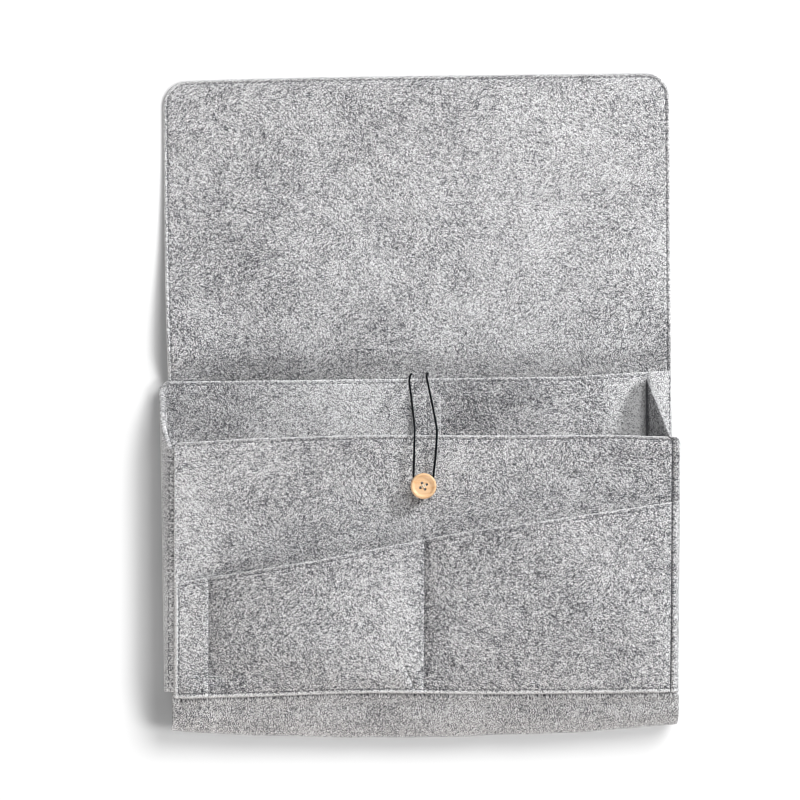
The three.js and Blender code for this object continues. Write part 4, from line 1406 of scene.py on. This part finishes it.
def seam_line(surface, start, end, under=False):
    """Closely spaced points and normals on a kept surface, straight from one (u, v) to another, or on the
    felt's other face."""
    t = np.linspace(0, 1, SEAM_POINTS)
    u = start[0] + (end[0] - start[0]) * t
    v = start[1] + (end[1] - start[1]) * t
    points, normals = sample(SURFACES[surface], u, v)
    return (points - normals * FELT, -normals) if under else (points, normals)


def flap_seam():
    """The flap's topstitching: up one side from the fold, round both corners and down the other side."""
    half = SHEET_HALF - EDGE_SEAM
    top = FLAP_HIGH[1] - EDGE_SEAM
    radius = FLAP_CORNER - EDGE_SEAM
    corner_points, side_points, across_points = 40, 300, 400
    turn = np.linspace(math.pi / 2, 0, corner_points)
    side = np.linspace(WALL_HIGH[1] + SEAM_SHORT, top - radius, side_points)
    across = np.linspace(-(half - radius), half - radius, across_points)[1:-1]
    corner = np.stack([half - radius + radius * np.cos(turn), top - radius + radius * np.sin(turn)], axis=1)
    mirrored = corner[::-1] * [-1, 1]
    outline = np.vstack([
        np.stack([np.full_like(side, -half), side], axis=1)[:-1], mirrored,
        np.stack([across, np.full_like(across, top)], axis=1), corner,
        np.stack([np.full_like(side, half), side], axis=1)[::-1][1:],
    ])
    x, y = outline.T
    step = 0.5
    slope_x = (back_height(x + step, y) - back_height(x - step, y)) / (2 * step)
    slope_y = (back_height(x, y + step) - back_height(x, y - step)) / (2 * step)
    normal = np.stack([-slope_x, -slope_y, np.ones_like(x)], axis=1)
    normal /= np.linalg.norm(normal, axis=1, keepdims=True)
    middle = np.stack([*cut_skew(x, y), back_height(x, y)], axis=1)
    return middle + normal * FELT / 2 * (1 - FLAP_PINCH), normal


class ORGANIZER_OT_topstitching(OrganizerPiece, bpy.types.Operator):
    """Rows of stitches along the flap, the pocket's edges and the front seams"""

    bl_idname = "organizer.topstitching"
    bl_label = "Topstitching"

    def execute(self, context):
        sizes = context.scene.organizer_sizes
        colours = context.scene.organizer_colours
        thread = thread_material("polyester_seam_thread", colours.thread)
        pale = thread_material("polyester_pale_thread", colours.pale_thread)

        def rows(name, lines, material=thread):
            """One piece with a row of stitches along each line."""
            parts = [stitches(*line, sizes.stitch_pitch / MM, sizes.thread_width / MM) for line in lines]
            return make_piece(name, *joined(parts), material, FELT_SLOT)

        flap = rows("stitches_flap", [flap_seam()], pale)
        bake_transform(flap)

        wrap = SURFACES["felt_pocket_wrap"]
        u = wrap["u"]
        x, _, z = wrap["middle"][:, 0].T
        wall = u[np.abs(z - WALL_MIDDLE) < WALL_LEVEL]
        near_top = 1 - EDGE_SEAM / (WALL_HIGH[1] - WALL_LOW[1])
        left, right = [(end, near_top) for end in (wall[0] + SEAM_SHORT, wall[-1] - SEAM_SHORT)]
        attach(rows("stitches_wall", [seam_line("felt_pocket_wrap", left, right)], pale), BACK)
        strip_end = SURFACES["felt_inner_strip"]["v"][-1] - SEAM_SHORT
        fold = u[np.argmax(x * (z < FOLD_BELOW))] + FOLD_SEAM
        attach(rows("stitches_strip", [
            seam_line("felt_inner_strip", (STRIP_SEAM, STRIP_START), (STRIP_SEAM, strip_end)),
            seam_line("felt_pocket_wrap", (fold, GUSSET_ROW[0]), (fold, near_top), under=True),
        ]), BACK)
        slant = wrap["marks"][0] + SLANT_SEAM
        foot, lip = [(slant, share) for share in GUSSET_ROW]
        gusset = rows("stitches_gusset", [seam_line("felt_pocket_wrap", foot, lip, under=True)])
        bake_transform(gusset)

        panel = SURFACES["felt_front_panel"]
        pocket = SURFACES["felt_pleated_pocket"]
        marks = pocket["marks"]
        length = pocket["u"][-1]
        right = panel["u"][-1] - RIGHT_SEAM
        top = panel["v"][-1] - EDGE_SEAM
        mouth = np.interp(length - RIGHT_SEAM, pocket["u"], pocket["mouth"])
        lines = [
            seam_line("felt_front_panel", (LEFT_SEAM, top), (right, top)),
            seam_line("felt_front_panel", (right, mouth + SEAM_SHORT), (right, top)),
        ]
        sides = (LEFT_SEAM - POCKET_INSET, LEFT_ROW), (length - RIGHT_SEAM + POCKET_INSET, RIGHT_ROW)
        for side, (low, high) in sides:
            lines.append(seam_line("felt_pleated_pocket", (side, low), (side, high)))
        faces = (
            (LEFT_SEAM, marks[0] - PLEAT_BEFORE),
            (marks[2] + PLEAT_PAST, marks[3] - PLEAT_BEFORE),
            (marks[5] + PLEAT_PAST, length - RIGHT_SEAM),
        )
        for start, end in faces:
            heights = np.interp([start, end], pocket["u"], pocket["mouth"]) - POCKET_INSET
            foot = (BOTTOM_SEAM - POCKET_INSET) / heights
            lip = 1 - EDGE_SEAM / heights
            lines.append(seam_line("felt_pleated_pocket", (start, foot[0]), (end, foot[1])))
            lines.append(seam_line("felt_pleated_pocket", (start, lip[0]), (end, lip[1])))
        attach(rows("stitches_front", lines), FRONT)
        return {"FINISHED"}


class ORGANIZER_OT_elastic_loop(OrganizerPiece, bpy.types.Operator):
    """Elastic loop from the back sheet round the button's shank"""

    bl_idname = "organizer.elastic_loop"
    bl_label = "Elastic loop"

    def execute(self, context):
        sizes = context.scene.organizer_sizes
        sides = 14
        width = sizes.loop_width / MM
        path = smooth_route(LOOP_ROUTE)
        vertices, faces = tube(path, width / 2, sides)
        cover = elastic_material("braided_elastic")
        piece = make_piece("elastic_loop_cord", vertices, faces, cover, "dark_elastic")
        along = run_lengths(path) / width
        around = np.arange(sides + 1) / sides
        ring_u = np.stack([around[:-1], around[1:], around[1:], around[:-1]], axis=1)
        ring_v = np.stack([along[:-1], along[:-1], along[1:], along[1:]], axis=1)
        grid = np.stack(np.broadcast_arrays(ring_u[None, :, :], ring_v[:, None, :]), axis=-1)
        caps = np.zeros((2 * sides, 2))
        corners = np.concatenate([grid[:, :, ::-1].reshape(-1, 2), caps])
        layer = piece.data.uv_layers.new(name="cord")
        layer.data.foreach_set("uv", corners.astype(np.float32).ravel())
        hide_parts("elastic_loop")
        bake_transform(piece)
        return {"FINISHED"}


def button_profile(radius, thickness, rim, dish):
    """Half the button's outline from the middle of its back to the middle of its face, as (radius, height):
    a rounded outer edge on two quarter ellipses and a lip that sinks to the dish on a smooth step."""
    under_points, over_points = 12, 14
    under = np.linspace(-math.pi / 2, 0, under_points)
    over = np.linspace(0, math.pi / 2, over_points)
    lip = np.linspace(0, 1, over_points)[1:]
    low = BUTTON_WIDEST * thickness
    crown = BUTTON_CROWN * rim
    crown_radius = radius - crown
    inner = radius - rim - BUTTON_LIP
    face = thickness - dish
    return np.vstack([
        [[0.0, 0.0]],
        np.stack([radius - BUTTON_UNDER + BUTTON_UNDER * np.cos(under), low + low * np.sin(under)], axis=1),
        np.stack([crown_radius + crown * np.cos(over), low + (thickness - low) * np.sin(over)], axis=1)[1:],
        np.stack([crown_radius + (inner - crown_radius) * lip, thickness - dish * smooth(lip)], axis=1),
        [[inner * 0.5, face + BUTTON_DOME[0]], [0.0, face + BUTTON_DOME[1]]],
    ])


class ORGANIZER_OT_button(OrganizerPiece, bpy.types.Operator):
    """Turned wooden button with four bored holes, and the thread that holds it"""

    bl_idname = "organizer.button"
    bl_label = "Button and its thread"

    # Holes by radius, ring and turn in degrees, how far the drill goes past the faces, how much the edge is
    # sanded off, the angle in degrees at which an edge is sharp, and the sides of the turned shapes
    hole_radius = 0.95
    hole_ring = 3.2 / math.sqrt(2)
    turn = -19.0
    drill_past = 1
    edge_wear = 0.4
    sharp = 50
    button_sides = 96
    small_sides = 28

    # Strands over the face: thickness and sides, play in the hole, depths of their ends and of the hole's
    # lip below the face, share of the way where they come down to the face, height over the middle, and how
    # far the second pair lies on the first
    strand = 0.36
    strand_sides = 8
    strand_play = 0.1
    strand_deep = 2.2
    strand_lip = 0.8
    strand_share = 0.06
    strand_over = 0.15
    strand_lift = 0.5

    # Shank: radius, gap below the button, depth and pitch of its windings, flare at the button, and its
    # knot under the felt by height, width, middle and half height
    shank_radius = 1.3
    shank_gap = 0.1
    winding = (0.12, 0.55)
    flare = 0.1
    shank_lines = 90
    knot = (1.2, 1.2, 0.6, 0.62)

    def holes(self, radius):
        """The four holes' places on a ring about the button's middle."""
        angle = np.radians(np.array([45, 135, 225, 315]) + self.turn)
        centre = (BUTTON_LOW + BUTTON_HIGH)[:2] / 2
        return centre + radius * np.stack([np.cos(angle), np.sin(angle)], axis=1)

    def bored(self, piece, bottom, top):
        """The button's mesh with the four holes cut through it."""
        depth = np.array([[0, bottom], [self.hole_radius, bottom], [self.hole_radius, top], [0, top]])
        drills = joined([turned(depth, hole, self.small_sides) for hole in self.holes(self.hole_ring)])
        cutter = make_piece("drill", *drills, piece.data.materials[0], "pale_wood")
        modifier = piece.modifiers.new("holes", "BOOLEAN")
        modifier.operation = "DIFFERENCE"
        modifier.solver = "EXACT"
        modifier.object = cutter
        found = piece.evaluated_get(bpy.context.evaluated_depsgraph_get())
        mesh = bpy.data.meshes.new_from_object(found)
        piece.modifiers.clear()
        piece.data = mesh
        bpy.data.objects.remove(cutter)
        mesh.set_sharp_from_angle(angle=math.radians(self.sharp))

    def strands(self, face):
        """Two pairs of strands that cross on the button's face: each comes up in a hole, arches over the face
        and goes down in the hole across from it."""
        inner = self.holes(self.hole_ring - self.hole_radius + self.strand / 2 + self.strand_play)
        low, lip, high = face - self.strand_deep, face - self.strand_lip, face + self.strand * 0.6
        parts = []
        for first, lift in ((0, 0.0), (1, self.strand_lift)):
            across = inner[first + 2] - inner[first]
            sideways = np.array([-across[1], across[0]]) / np.linalg.norm(across)
            within = across * self.strand_share
            for offset in (-0.5, 0.5):
                a, b = inner[[first, first + 2]] + sideways * offset * self.strand
                route = np.array([
                    [*a, low], [*a, lip], [*(a + within), high],
                    [*((a + b) / 2), high + self.strand_over + lift],
                    [*(b - within), high], [*b, lip], [*b, low],
                ])
                parts.append(tube(smooth_route(route), self.strand / 2, self.strand_sides))
        return parts

    def shank(self, centre):
        """Thread wound from the front to the button: a neck with sine windings that flares on a smooth step,
        and a round knot, sqrt(1 - t^2), under the felt."""
        knot_height, knot_width, knot_middle, knot_half = self.knot
        low = PANEL_LOW[2] - PLY_GAP - knot_height
        high = BUTTON_LOW[2] - self.shank_gap
        height = np.linspace(low, high, self.shank_lines)
        wound = self.winding[0] * np.sin(2 * math.pi * height / self.winding[1])
        knot = knot_width * np.sqrt(np.clip(1 - ((height - low - knot_middle) / knot_half) ** 2, 0, 1))
        flare = self.flare * smooth((height - PANEL_HIGH[2]) / (high - PANEL_HIGH[2]))
        profile = np.stack([self.shank_radius + wound + knot + flare, height], axis=1)
        return turned(np.vstack([[0, low], profile, [0, high]]), centre, self.small_sides)

    def execute(self, context):
        sizes = context.scene.organizer_sizes
        colours = context.scene.organizer_colours
        centre = (BUTTON_LOW + BUTTON_HIGH)[:2] / 2
        thickness = BUTTON_HIGH[2] - BUTTON_LOW[2]
        radius = (BUTTON_HIGH[0] - BUTTON_LOW[0]) / 2 - self.edge_wear
        profile = button_profile(radius, thickness, sizes.button_rim / MM, sizes.button_dish / MM)
        vertices, faces = turned(profile + [0, BUTTON_LOW[2]], centre, self.button_sides)
        piece = make_piece("wooden_button", vertices, faces, wood_material("waxed_birch"), "pale_wood")
        self.bored(piece, BUTTON_LOW[2] - self.drill_past, BUTTON_HIGH[2] + self.drill_past)
        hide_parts("button")
        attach(piece, BUTTON)

        parts = self.strands(BUTTON_HIGH[2] - sizes.button_dish / MM)
        parts.append(self.shank(centre))
        thread = thread_material("cotton_button_thread", colours.button_thread)
        sewn = make_piece("button_sewing", *joined(parts), thread, "cream_thread")
        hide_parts("button_thread")
        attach(sewn, BUTTON)
        return {"FINISHED"}


def placed_lamp(name, kind, azimuth, elevation, aim):
    """A lamp of a kind, turned to face the aim from its azimuth and elevation in degrees."""
    azimuth, elevation = math.radians(azimuth), math.radians(elevation)
    holder = bpy.data.objects.new(name, bpy.data.lights.new(name, kind))
    bpy.context.scene.collection.objects.link(holder)
    flat = LAMP_DISTANCE * math.cos(elevation)
    offset = (flat * math.cos(azimuth), flat * math.sin(azimuth), LAMP_DISTANCE * math.sin(elevation))
    holder.location = [a + b for a, b in zip(aim, offset)]
    holder.rotation_euler = (math.pi / 2 - elevation, 0.0, azimuth + math.pi / 2)
    return holder


def softbox(name, azimuth, elevation, size, level, colour, aim):
    """A round soft lamp. The level is what it gives a white level surface, so its power is
    level pi^2 d^2 / sin(elevation)."""
    holder = placed_lamp(name, "AREA", azimuth, elevation, aim)
    holder.data.color = colour
    holder.data.shape = "DISK"
    holder.data.size = size
    holder.data.energy = level * (math.pi * LAMP_DISTANCE) ** 2 / math.sin(math.radians(elevation))
    return holder


def window(name, azimuth, elevation, spread, level, aim):
    """Even light from far off, over a spread of angles. A white level surface gets the level, so its strength
    is level pi / sin(elevation)."""
    holder = placed_lamp(name, "SUN", azimuth, elevation, aim)
    holder.data.angle = math.radians(spread)
    holder.data.energy = level * math.pi / math.sin(math.radians(elevation))
    return holder


def light_only(lamp, floor, state):
    """Links a lamp to the floor alone, or to everything but the floor."""
    group = bpy.data.collections.new(lamp.name)
    group.objects.link(floor)
    group.collection_objects[0].light_linking.link_state = state
    lamp.light_linking.receiver_collection = group


def seen_directly(tree):
    """1 for the camera's rays, reflections and rays through glass, and 0 for the light on the pieces."""
    ray = add_node(tree, "ShaderNodeLightPath").outputs
    seen = ray["Is Camera Ray"]
    for kind in ("Is Glossy Ray", "Is Transmission Ray"):
        seen = add_node(tree, "ShaderNodeMath", {0: seen, 1: ray[kind]}, operation="MAXIMUM").outputs[0]
    return seen


class ORGANIZER_OT_stage(OrganizerPiece, bpy.types.Operator):
    """White floor, soft lamps from the upper right, and the camera straight above"""

    bl_idname = "organizer.stage"
    bl_label = "Stage"

    def execute(self, context):
        scene = context.scene
        scene.view_settings.view_transform = "Standard"
        scene.cycles.filter_width = PIXEL_FILTER
        middle = in_frame(*PHOTO_MIDDLE, 0)
        camera = bpy.data.objects.new("camera", bpy.data.cameras.new("camera"))
        scene.collection.objects.link(camera)
        camera.data.sensor_width = CAMERA_SENSOR
        camera.data.lens = CAMERA_SENSOR * CAMERA_HEIGHT / (PHOTO_WIDTH * MM)
        camera.data.clip_end = 4 * CAMERA_HEIGHT
        camera.location = (middle[0], middle[1], CAMERA_HEIGHT)
        camera.rotation_euler = (0.0, 0.0, PHOTO_TURN)
        scene.camera = camera

        material, tree, output = new_material("white_paper_floor")
        paper = add_node(tree, "ShaderNodeBsdfDiffuse", {"Color": (*PAPER, 1.0)})
        lift = add_node(tree, "ShaderNodeMath", {0: seen_directly(tree), 1: FLOOR_GLOW}, operation="MULTIPLY")
        glow = add_node(tree, "ShaderNodeEmission", {"Color": (*WHITE, 1.0), "Strength": lift.outputs[0]})
        both = add_node(tree, "ShaderNodeAddShader", {0: paper.outputs["BSDF"], 1: glow.outputs["Emission"]})
        tree.links.new(both.outputs[0], output.inputs["Surface"])
        mesh = bpy.data.meshes.new("floor")
        turns = ((-1, -1), (1, -1), (1, 1), (-1, 1))
        corners = [(x * FLOOR_REACH, y * FLOOR_REACH, -FLOOR_DROP) for x, y in turns]
        mesh.from_pydata(corners, [], [(0, 1, 2, 3)])
        mesh.materials.append(material)
        floor = bpy.data.objects.new("floor", mesh)
        scene.collection.objects.link(floor)

        world = bpy.data.worlds.new("studio")
        scene.world = world
        world.use_nodes = True
        tree = world.node_tree
        tree.nodes.clear()
        strength = add_node(tree, "ShaderNodeMapRange", {
            "Value": seen_directly(tree), "To Min": SKY_LEVEL, "To Max": 1.0,
        }).outputs[0]
        sky = add_node(tree, "ShaderNodeBackground", {"Color": (*WHITE, 1.0), "Strength": strength})
        add_node(tree, "ShaderNodeOutputWorld", {"Surface": sky.outputs[0]})

        aim = in_frame(*LAMP_AIM)
        for name, setting in LAMPS.items():
            light_only(softbox(name, *setting, aim), floor, "EXCLUDE")
        for name, setting in WINDOWS.items():
            light_only(window(name, *setting, aim), floor, "INCLUDE")
        return {"FINISHED"}


OPERATORS = (
    ORGANIZER_OT_stage,
    ORGANIZER_OT_elastic_loop,
    ORGANIZER_OT_back_sheet,
    ORGANIZER_OT_pocket_wrap,
    ORGANIZER_OT_bottom_gusset,
    ORGANIZER_OT_front_panel,
    ORGANIZER_OT_pleated_pocket,
    ORGANIZER_OT_topstitching,
    ORGANIZER_OT_button,
)


class ORGANIZER_PT_panel(bpy.types.Panel):
    """Lists the organizer's sizes, colours and pieces"""

    bl_idname = "ORGANIZER_PT_panel"
    bl_label = "Felt Sofa Organizer"
    bl_space_type = "VIEW_3D"
    bl_region_type = "UI"
    bl_category = "Organizer"

    def draw(self, context):
        layout = self.layout
        for group in (context.scene.organizer_sizes, context.scene.organizer_colours):
            column = layout.column(align=True)
            for name in group.__annotations__:
                column.prop(group, name)
        for operator in OPERATORS:
            layout.operator(operator.bl_idname)


CLASSES = (OrganizerSizes, OrganizerColours, *OPERATORS, ORGANIZER_PT_panel)


def register():
    """Adds the classes, and the sizes and colours to the scene."""
    for item in CLASSES:
        bpy.utils.register_class(item)
    bpy.types.Scene.organizer_sizes = bpy.props.PointerProperty(type=OrganizerSizes)
    bpy.types.Scene.organizer_colours = bpy.props.PointerProperty(type=OrganizerColours)


def unregister():
    """Takes away what register added."""
    del bpy.types.Scene.organizer_colours
    del bpy.types.Scene.organizer_sizes
    for item in reversed(CLASSES):
        bpy.utils.unregister_class(item)


def main():
    """Builds every piece in order."""
    register()
    for operator in OPERATORS:
        group, name = operator.bl_idname.split(".")
        getattr(getattr(bpy.ops, group), name)()


if __name__ == "__main__":
    main()
